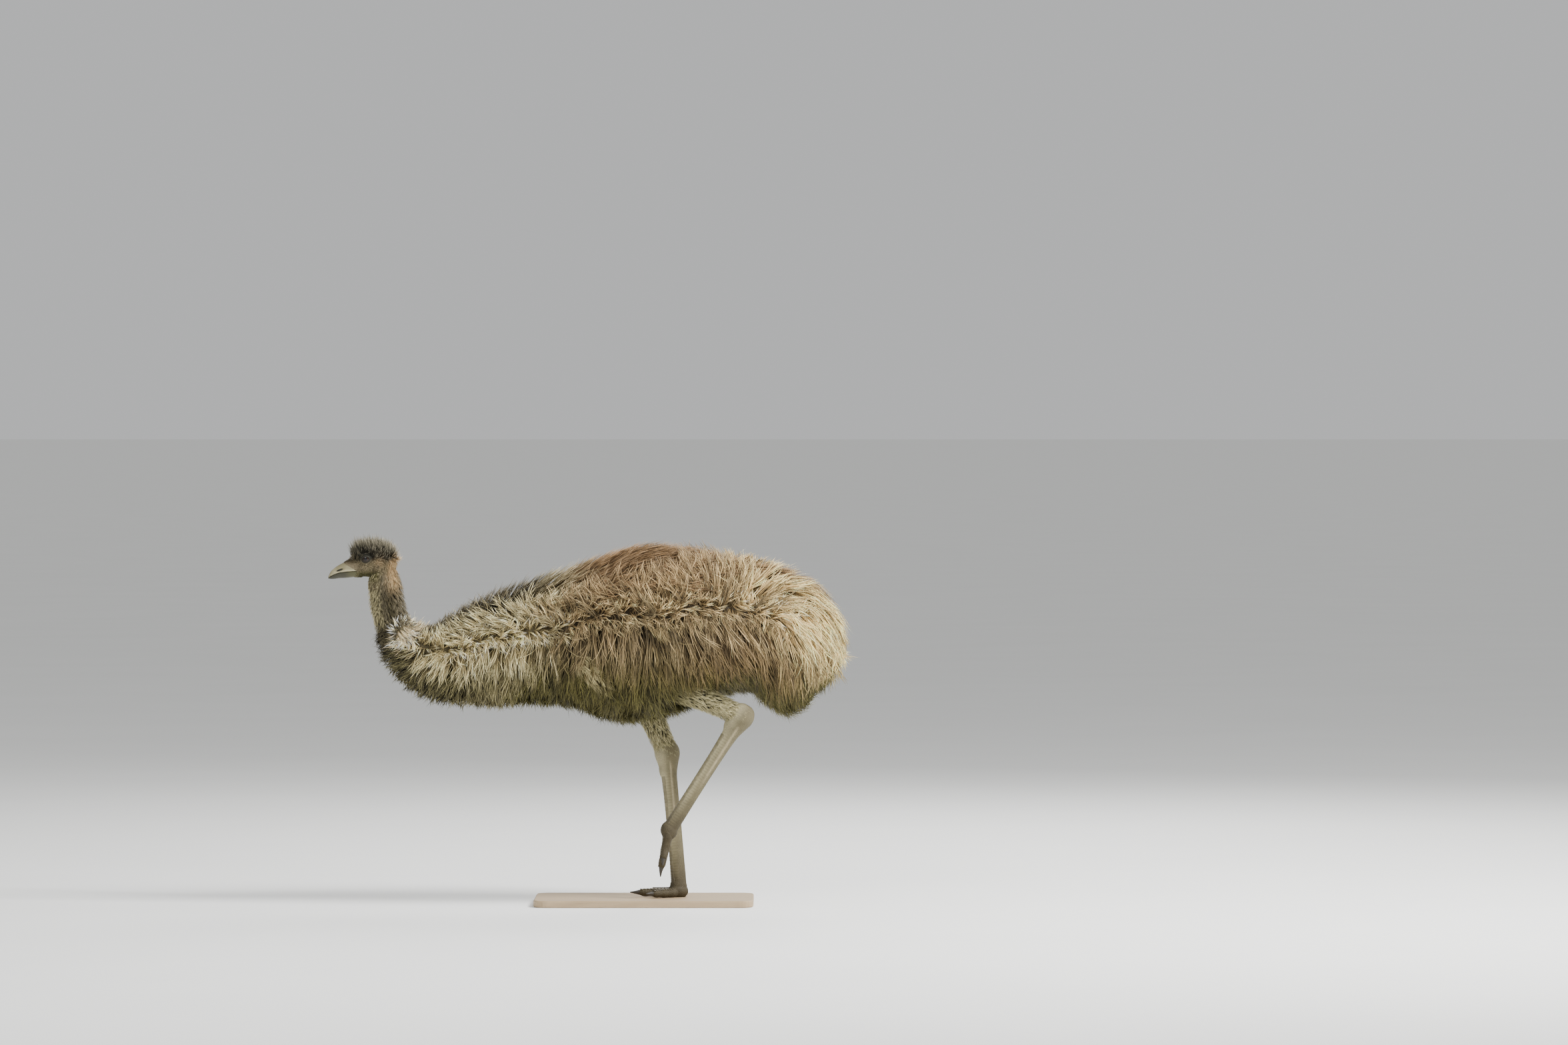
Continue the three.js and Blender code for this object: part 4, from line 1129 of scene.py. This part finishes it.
def leg_looks(points, leg):
    """Where the leg's skin is, its colours, and the scales' run and breadth there."""
    a, b = joints(leg, "hock", "ball")
    reach = np.linalg.norm(b - a)
    t = ((points - a) @ (b - a)) / reach**2
    gap = np.linalg.norm(points - (a + np.clip(t, -0.1, 1.9)[:, None] * (b - a)), axis=-1)
    here = (gap < 70) & (t > -0.14) & (points[:, 2] < a[2] + 50)
    here |= (np.linalg.norm(points - b, axis=-1) < 190) & (points[:, 2] < b[2] + 10)
    ahead = (points[:, 0] - (a[0] + t * (b[0] - a[0]))) / 20
    groove = bump(ahead, 0.32, 0.16) * smooth(t, 0.05, 0.12) * smooth(t, 0.7, 0.4)
    colour = layered(TONES["leg_pale"], [(smooth(ahead, -0.9, 0.3), TONES["leg"]),
                                         (0.5 * groove, TONES["neck_rim"][0]),
                                         (leg_shadow(t), TONES["leg_in_shadow"])])
    broad = smooth(ahead, 0.35, -0.1) * smooth(t, 0.12, 0.22) * smooth(t, 1.0, 0.93)
    return here, colour, np.stack([t * reach / SCALE_STEP * math.pi, broad, 0 * t], axis=1)


def skin_looks(points):
    """Painted shade under the coat, bare on the face, scaly on the legs: colours, and the scales' run and
    breadth.
    """
    colour = face_looks(points, UNDER_COAT_SHADE * markings(*nearest_station(points))[:, 0])
    scales = np.zeros((len(points), 3))
    scales[:, 2] = points[:, 2] > HEAD_LOW
    hanging = (points[:, 1] < LEGS["left"]["ball"][1] / 2) & (points[:, 2] > 50)
    for name, leg in LEGS.items():
        here, leg_colour, leg_scales = leg_looks(points, leg)
        here = (here & (hanging == (name == "left")))[:, None]
        colour = np.where(here, leg_colour, colour)
        scales = np.where(here, leg_scales, scales)
    return colour, scales


# The bill, eyes and lids.

def nostril_at(x, z):
    """How far into the nostril a point is: 1 in its middle, 0 outside, for the slot and its rim."""
    slope = math.radians(NOSTRIL["slope"])
    ahead, above = x - NOSTRIL["x"], z - NOSTRIL["z"]
    along = (ahead * math.cos(slope) + above * math.sin(slope)) / (NOSTRIL["length"] / 2)
    across = (above * math.cos(slope) - ahead * math.sin(slope)) / (NOSTRIL["height"] / 2)
    far = np.hypot(along, across)
    return smooth(far, 1.12, 0.86), smooth(far, 2.0, 1.1)


def bill_rings(half):
    """Rings along one half of the bill: 1 is the upper one, with a ridge and nostrils."""
    rows = spline(BILL, np.linspace(0, len(BILL) - 1, 140))
    x, z, up, down, wide = (column[:, None] for column in rows.T)
    # The tip is rounded, and that of the upper half bends down a little.
    beyond = np.clip((-1008 - x) / 12.5, 0, 0.98)
    up, down, wide = (size * np.sqrt(1 - beyond**2) for size in (up, down, wide))
    z = z - 2.5 * beyond**2 * (half > 0)
    phi = turns(140)
    c, s = np.cos(phi), np.sin(phi)
    if half > 0:
        width = wide * np.sign(s) * np.abs(s) ** 0.86
        ridge = 1.6 * bump(width, 0, 4.5) * (c > 0) * smooth(x, -922, -940)
        height = z + 1.25 + np.where(c > 0, up * np.abs(c) ** 1.15, 1.2 * c) + ridge
        slot, rim = nostril_at(x, height)
        width = width - np.sign(width) * (1.1 * rim + NOSTRIL["depth"] * slot)
    else:
        width = wide * 0.93 * s
        height = z - 1.25 + np.where(c > 0, 1.2 * c, down * c)
    return np.stack([x + 0 * phi, width, height], axis=-1)


def bill_half(part, half):
    thing = loft(f"horn_{part}", bill_rings(half), HORN)
    x, _, z = points_of(thing).T
    mouth = np.interp(x, BILL[::-1, 0], BILL[::-1, 1])
    if half > 0:
        colour = layered(TONES["horn"], [
            (0.8 * np.maximum(bump(z - mouth, 3.5, 3), bump(x, -1004, 9) * 0.7), TONES["horn_pale"]),
            # painted shade inside the nostril slot
            (nostril_at(x, z)[0], TONES["nostril"]),
            (0.45 * smooth(x, -1012, -1020), TONES["nostril"]),
        ])
    else:
        colour = layered(TONES["horn_low"], [(smooth(x, -975, -945), TONES["chin"][0]),
                                             (0.4 * smooth(x, -990, -1010), TONES["nostril"])])
    paint(thing, colour)
    dress(thing, "bill", f"bill_{part}")


def eyelids(name, side):
    """A ring that hugs the eyeball, flatter above than below."""
    turn = turns(64)
    above = np.sin(turn) > 0
    x = LID["wide"] * np.cos(turn)
    z = LID["high"] * np.sin(turn) * np.where(above, 0.9, 1.0)
    y = np.sqrt(EYE["radius"] ** 2 - x**2 - z**2) + EYE["y"] + 0.3
    centre = np.stack([x, side * y, z], axis=1)
    out = unit(centre - np.array([0, side * EYE["y"], 0]))
    aside = np.cross(unit(np.roll(centre, -1, axis=0) - np.roll(centre, 1, axis=0)), out)
    thick = LID["thick"] * np.where(above, 1.15, 0.9)[:, None]
    loops = rod(centre, out[:, None], aside[:, None], 0.8 * thick, thick, 16)
    return closed_ring(name, loops + np.array([EYE["x"], 0, EYE["z"]]), SKIN)


def make_eyes():
    for name, side in SIDES.items():
        at = (EYE["x"], side * EYE["y"], EYE["z"])
        eye = ellipsoid(f"eyeball_{name}", at, (EYE["radius"],) * 3, 32, 48, EYE_GLASS)
        dress(eye, "eye", f"eye_{name}")
        lid = eyelids(f"lid_{name}", side)
        ear_at = (EAR["x"], side * (EAR["y"] - 0.6), EAR["z"])
        ear = torus(f"ear_{name}", ear_at, EAR["radius"], EAR["rim"], 1.15, SKIN)
        for thing, colour in ((lid, TONES["crown"][0]), (ear, TONES["bare_face"] * 0.7)):
            paint(thing, colour)
            paint(thing, (0, 0, 1), "scales")
            dress(thing, "head_coat")


# Claws and scutes.

def make_claws():
    t = np.linspace(0, 1, 18)[:, None]
    radius = mix(9, 1.6, t**0.85)
    for name, foot in FEET.items():
        above = np.array(foot["above"], float)
        for which, root, way, length, claw in toes_of(name):
            centres = root + way * length + way * mix(-3, claw, t) - above * (foot["hook"] * t * t)
            loops = rod(centres, above, unit(np.cross(above, way)), radius * 0.9, radius * 0.85, 20)
            thing = loft(f"nail_{which}_{name}", loops, CLAW_HORN)
            paint(thing, TONES["claw"])
            dress(thing, "claw", f"claw_{which}_{name}")


def plate(centre, along, out, length, width, thick):
    """Loops of a scute: a small curved plate whose lower edge stands clear."""
    aside = unit(np.cross(along, out))
    t = np.linspace(0, 1, 7)[:, None]
    across = np.linspace(-1, 1, 9)
    edge = np.sqrt(np.maximum(1 - (2 * t - 1) ** 6, 0.04))
    lift = thick * mix(0.2, 1, t)
    height = (1 - 0.42 * across**2) * width * 0.28 + lift - width * 0.28
    top = (centre + along * (length * (t - 0.5))[..., None] + aside * (across * width / 2 * edge)[..., None]
           + out * height[..., None])
    return np.hstack([top, (top - out * (lift + 1.2)[..., None])[:, ::-1]])


def band(tube, start, end):
    """Loops of a broad scale that wraps round the front of a shank. Its lower edge stands clear."""
    half_wide = draw.uniform(54, 60)
    around = math.pi + np.radians(np.linspace(-half_wide, half_wide, 11))
    t = np.linspace(0, 1, 5)[:, None]
    n = np.minimum(mix(start, end, t), tube.last)
    edge = 1 - 0.5 * bump(np.abs(t - 0.5), 0.5, 0.12)
    lift = mix(0.1, 0.9, t) * edge * np.cos((around - math.pi) * 1.3)
    return np.hstack([tube.point(n, around, lift), tube.point(n, around[::-1], -1.5)])


def shank_scutes(name, count=30):
    """The plates of a shank, each with how much painted shadow darkens it."""
    tube = limb_tube(LEGS[name], "hock", "ball", SHANK)
    for i in range(count):
        start, end = (mix(SCUTES_FROM, tube.last, share / count) for share in (i, i + 1.15))
        yield band(tube, start, end), leg_shadow(spline(SHANK, np.array([start]))[0, 0])


def toe_scutes(name):
    """The plates on top of a foot's toes, each fully darkened by painted shadow."""
    top = np.array(FEET[name]["above"], float)
    for _, root, way, length, _ in toes_of(name):
        for t in np.linspace(0.16, 0.92, 9):
            thick = TOE["thick"] * mix(1, TOE["taper"], t)
            centre = root + way * (length * t) + top * thick * 0.95
            yield plate(centre, way, top, length / 9.5, thick * 1.45, 0.7), 1.0


def make_scutes():
    """Plates down the front of each shank and along the top of each toe."""
    scutes = [scute for name in LEGS for scute in (*shank_scutes(name), *toe_scutes(name))]
    points, corners, sizes = zip(*(surface(loops) for loops, _ in scutes))
    counts = [len(p) for p in points]
    firsts = np.cumsum([0] + counts[:-1])
    plain = mix(TONES["leg"], TONES["leg_pale"], 0.25)
    tints = [mix(plain, TONES["leg_in_shadow"], dark) * draw.uniform(0.87, 1.12) for _, dark in scutes]
    thing = mesh_object("scutes", np.vstack(points), np.hstack([c + f for c, f in zip(corners, firsts)]),
                        np.hstack(sizes), SCUTE)
    paint(thing, np.repeat(tints, counts, axis=0))
    dress(thing, "leg_skin")


# Short feathers of the head, upper neck, calves and wings.

def grow_short(name, slot, tube, looks, tints, span, material=SHORT_FEATHER, **style):
    """A coat piece of clumps whose tints are the colours at root and tip."""
    lines, ups, owner, light, width = strands(tube, looks, **style)
    places = places_of(looks["n"][owner], looks["phi"][owner], span)
    coat_piece(name, slot, material, lines, ups, width, tints[owner] * light[:, None, None], places)


def grow_upper_neck():
    n, phi = spread(body, 0.55, 3.5, SPACING["upper_neck"])
    degrees = from_back(phi)
    throat = smooth(degrees, 90, 112)
    kept = draw.uniform(0, 1, len(n)) > 0.12 * throat
    n, phi, degrees, throat = n[kept], phi[kept], degrees[kept], throat[kept]
    count = len(n)
    lie = 7 * unevenness(n * 3, phi * 2, 3) + draw.normal(0, 10, count)
    length = mix(28, 14, throat) * draw.uniform(0.75, 1.25, count)
    crest = 7 * smooth(degrees, 62, 20) * smooth(n, 0.6, 1.2)
    looks = {
        "n": n, "phi": phi, "root": skin_out(n, phi) - 2, "lie": lie,
        "length": length * np.interp(n, [0.5, 1.2, 3.5], [0.75, 0.85, 1.35]),
        "tip": mix(1, -4, throat) + draw.normal(0, 1.6, count) + crest,
        "curl": draw.normal(0, 12, count), "droop": 0,
    }
    grow_short("coat_neck_upper", "neck_coat", body, looks, markings(n, degrees), 4, pieces=2, each=5,
               radius=3.2, gather=(0.1, 0.6), curl=1.3, shade=(0.16, 0.12), width=(0.9, 1.6))


def grow_calves():
    for name, leg in LEGS.items():
        tube = calf_tube(leg)
        n, phi = spread(tube, 0.9, tube.last + 0.1, SPACING["calf"])
        count = len(n)
        looks = {
            "n": n, "phi": phi, "root": -CALF_INSET - 2.0,
            "lie": draw.normal(0, 7, count) + 8 * unevenness(n * 3, phi * 2, 7),
            "length": draw.uniform(15, 24, count) * np.interp(n, [0, 4, 5.2], [1.2, 1, 0.7]),
            "tip": draw.normal(0, 1, count), "curl": draw.normal(0, 9, count), "droop": 0,
        }
        mottle = 0.5 * smooth(unevenness(n * 4, phi * 3, 11), 0.1, 0.8)
        dark = np.maximum(smooth(n, 2.6, 1.4), mottle)
        tints = layered(TONES["calf"], [(dark, TONES["calf_dark"] * np.array([[1.0], [1.2]]))])
        grow_short(f"coat_calf_{name}", "calf_coat", tube, looks, tints, tube.last + 1, pieces=2, each=4,
                   radius=4.0, gather=(0, 0.45), curl=1.2, shade=(0.1, 0.08, 0.35), width=(1.2, 2.0))


def grow_wings():
    pale = np.stack([TONES["ruffle"][0], TONES["calf"][0] * 1.3])
    for name, side in SIDES.items():
        tube = wing_tube(side)
        n, phi = spread(tube, 0.7, tube.last, SPACING["wing"])
        count = len(n)
        looks = {
            "n": n, "phi": phi, "root": -8.0, "lie": draw.normal(0, 13, count),
            "length": draw.uniform(42, 66, count),
            "tip": np.interp(n, [0, 2, 4], [18, 14, 8]) + draw.normal(0, 3, count),
            "curl": draw.normal(0, 14, count), "droop": 3.0,
        }
        end = np.maximum(smooth(n, 1.6, 3.0), 0.7 * smooth(n, 0.9, 0.2))
        grow_short(f"coat_wing_{name}", "coat", tube, looks, layered(pale, [(end, TONES["belly"])]),
                   tube.last, FEATHER, pieces=4, each=7, radius=5, gather=(0.3, 0.8), curl=4,
                   shade=(0.16, 0.14), width=(1.8, 2.8))


# The head's feathers.

CREST_LEAN = ([-965, -935, -895, -860, -825], [-0.55, -0.32, -0.05, 0.05, 0.2])
CREST = ([-975, -955, -938, -915, -890, -870, -845, -825], [12, 32, 52, 46, 42, 38, 38, 36])
FACE_LENGTHS = ([-960, -915, -880, -830], [0.45, 0.7, 1, 1.5])


def head_samples(skin, count):
    """Random places on the skin of the head: points and normals in millimetres."""
    mesh = skin.data
    mesh.calc_loop_triangles()
    corners = np.empty(len(mesh.loop_triangles) * 3, np.int32)
    mesh.loop_triangles.foreach_get("vertices", corners)
    co = points_of(skin)[corners.reshape(-1, 3)]
    x, _, z = co.mean(1).T
    co = co[(z > HEAD_LOW) & (x > HEAD_SPAN[0]) & (x < HEAD_SPAN[1])]
    normal = np.cross(co[:, 1] - co[:, 0], co[:, 2] - co[:, 0])
    area = np.linalg.norm(normal, axis=1)
    pick = draw.choice(len(co), count, p=area / area.sum())
    a, b = draw.uniform(0, 1, (2, count, 1))
    a, b = np.where(a + b > 1, (1 - a, 1 - b), (a, b))
    first, second, third = co[pick].transpose(1, 0, 2)
    return first + a * (second - first) + b * (third - first), unit(normal[pick])


def bare_share(x, y, z):
    """The share of the face's feathers that is missing: all round the eye, the ear and the bill."""
    eye_gap = np.hypot(x - EYE["x"], (z - EYE["z"]) * 1.1)
    ear_gap = np.hypot(x - EAR["x"], z - EAR["z"])
    bare = np.maximum(smooth(eye_gap, 17, 14), bump(ear_gap, 0, 5)) * (np.abs(y) > 12)
    return np.maximum(bare, 0.94 * smooth(x, -922, -938) * smooth(z, 984, 974))


def head_ways(points, normals, crown):
    """Feathers of the face lie back, those of the nape hang, and the crest stands up."""
    x, y, z = points.T
    down = np.maximum(smooth(x, -872, -842), smooth(z, 950, 925))[:, None]
    flow = mix(np.array([1.0, 0, -0.3]), np.array([0.25, 0, -1.0]), down)
    flow = unit(flow - normals * (flow * normals).sum(1)[:, None])
    flow = unit(flow + draw.normal(0, 0.16, points.shape))
    lean_x = np.interp(x, *CREST_LEAN) + 0.28 * unevenness(x / 24, y / 12, 5)
    lean = np.stack([lean_x, np.sign(y) * 0.1, np.ones(len(x))], axis=1) + draw.normal(0, 0.12, points.shape)
    return unit(mix(flow + normals * 0.22, lean, crown[:, None]))


def head_tints(points, crown):
    """Colours at the root and the tip of each feather."""
    x, _, z = points.T
    tints = layered(TONES["face"], [(smooth(z, 978, 994), TONES["crown"])])
    patch = bump(np.hypot(x - EAR_PATCH["x"], z - EAR_PATCH["z"]), 0, EAR_PATCH["radius"]) * (1 - crown)
    pale_tip = crown * (draw.uniform(0, 1, len(x)) < 0.75)
    tints[:, 0] = mix(tints[:, 0], TONES["ear_patch"], (0.8 * patch)[:, None])
    tints[:, 1] = mix(tints[:, 1], TONES["crest_tip"], pale_tip[:, None])
    buff = bump(x, -832, 13) * smooth(z, 996, 984)
    chin = smooth(z, 962, 944) * smooth(x, -860, -885) * smooth(z, 918, 940)
    dark_root = np.array([[0.8], [1.0]])
    tints = layered(tints, [(buff, TONES["nape"] * dark_root), (chin, TONES["chin"] * dark_root)])
    return tints * np.clip(draw.normal(1, 0.2, len(x)), 0.5, 1.6)[:, None, None]


def grow_head(skin):
    """Bristles of the crest and short feathers on the rest of the head."""
    points, normals = head_samples(skin, BRISTLES)
    kept = draw.uniform(0, 1, len(points)) > bare_share(*points.T)
    points, normals = points[kept], normals[kept]
    x, y, z = points.T
    count = len(x)
    crown = smooth(normals[:, 2], 0.08, 0.5) * smooth(z, 976, 992)
    way = head_ways(points, normals, crown)[:, None]
    crest = np.interp(x, *CREST) * (1 + 0.16 * unevenness(x / 15, y / 10, 8))
    length = mix(10 * np.interp(x, *FACE_LENGTHS), crest, crown) * draw.uniform(0.45, 1.1, count)
    s = np.array([-0.1, 0.5, 1.0])[None, :, None]
    hug = 0.12 * (1 - crown)[:, None, None] * normals[:, None]
    bend = (draw.normal(0, 0.07, (count, 1, 3)) - hug) * s**2
    lines = points[:, None] + (way * s + bend) * length[:, None, None]
    ups = mix(normals, np.array([0.7, 0.7, 0]), crown[:, None])[:, None]
    tints = head_tints(points, crown)
    width = draw.uniform(0.9, 1.5, count) * mix(1, 1.25, crown)
    places = places_of(smooth(x, *HEAD_SPAN), np.arctan2(y, z - 976), 1)
    coat_piece("coat_head", "head_coat", SHORT_FEATHER, lines, np.broadcast_to(ups, lines.shape), width,
               tints, places, 0.4)


# Building.

skin = make_skin()
bill_half("upper", 1)
bill_half("lower", -1)
make_eyes()
make_claws()
make_scutes()
grow_long_coat()
grow_upper_neck()
grow_head(skin)
grow_calves()
grow_wings()
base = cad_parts["stand_base"]
base.data.materials.clear()
base.data.materials.append(base_material())


# The stage, the light and the camera.

def look_at(thing, target):
    thing.rotation_euler = (Vector(target) - thing.location).to_track_quat("-Z", "Y").to_euler()


def make_stage():
    half = FLOOR_SIZE / 2
    mesh = bpy.data.meshes.new("floor")
    corners = [(-half, -half, 0), (half, -half, 0), (half, half, 0), (-half, half, 0)]
    mesh.from_pydata(corners, [], [(0, 1, 2, 3)])
    s = Shader("floor_paint", 0.85, 0.2)
    s.set("Base Color", s.blend(s.noise(1.2), "floor_dark", "floor_pale"))
    mesh.materials.append(s.material)
    add_object("floor", mesh)


def make_light():
    world = bpy.data.worlds.new("studio")
    bpy.context.scene.world = world
    world.use_nodes = True
    sky = world.node_tree.nodes["Background"].inputs
    sky["Color"].default_value = SKY["colour"]
    sky["Strength"].default_value = SKY["strength"]
    for name, at, size, watts in LAMPS:
        light = bpy.data.lights.new(name, "AREA")
        light.size = size
        light.energy = watts
        lamp = add_object(name, light)
        lamp.location = at
        look_at(lamp, LAMP_AIM)


def make_camera():
    lens = bpy.data.cameras.new("camera")
    lens.sensor_width = 36
    lens.lens = lens.sensor_width * CAMERA_FAR / VIEW_WIDTH
    lens.clip_end = 1000
    camera = add_object("camera", lens)
    centre = in_frame(VIEW_MIDDLE)
    camera.location = (centre[0], -CAMERA_FAR, CAMERA_HEIGHT)
    look_at(camera, centre)
    bpy.context.scene.camera = camera


make_stage()
make_light()
make_camera()
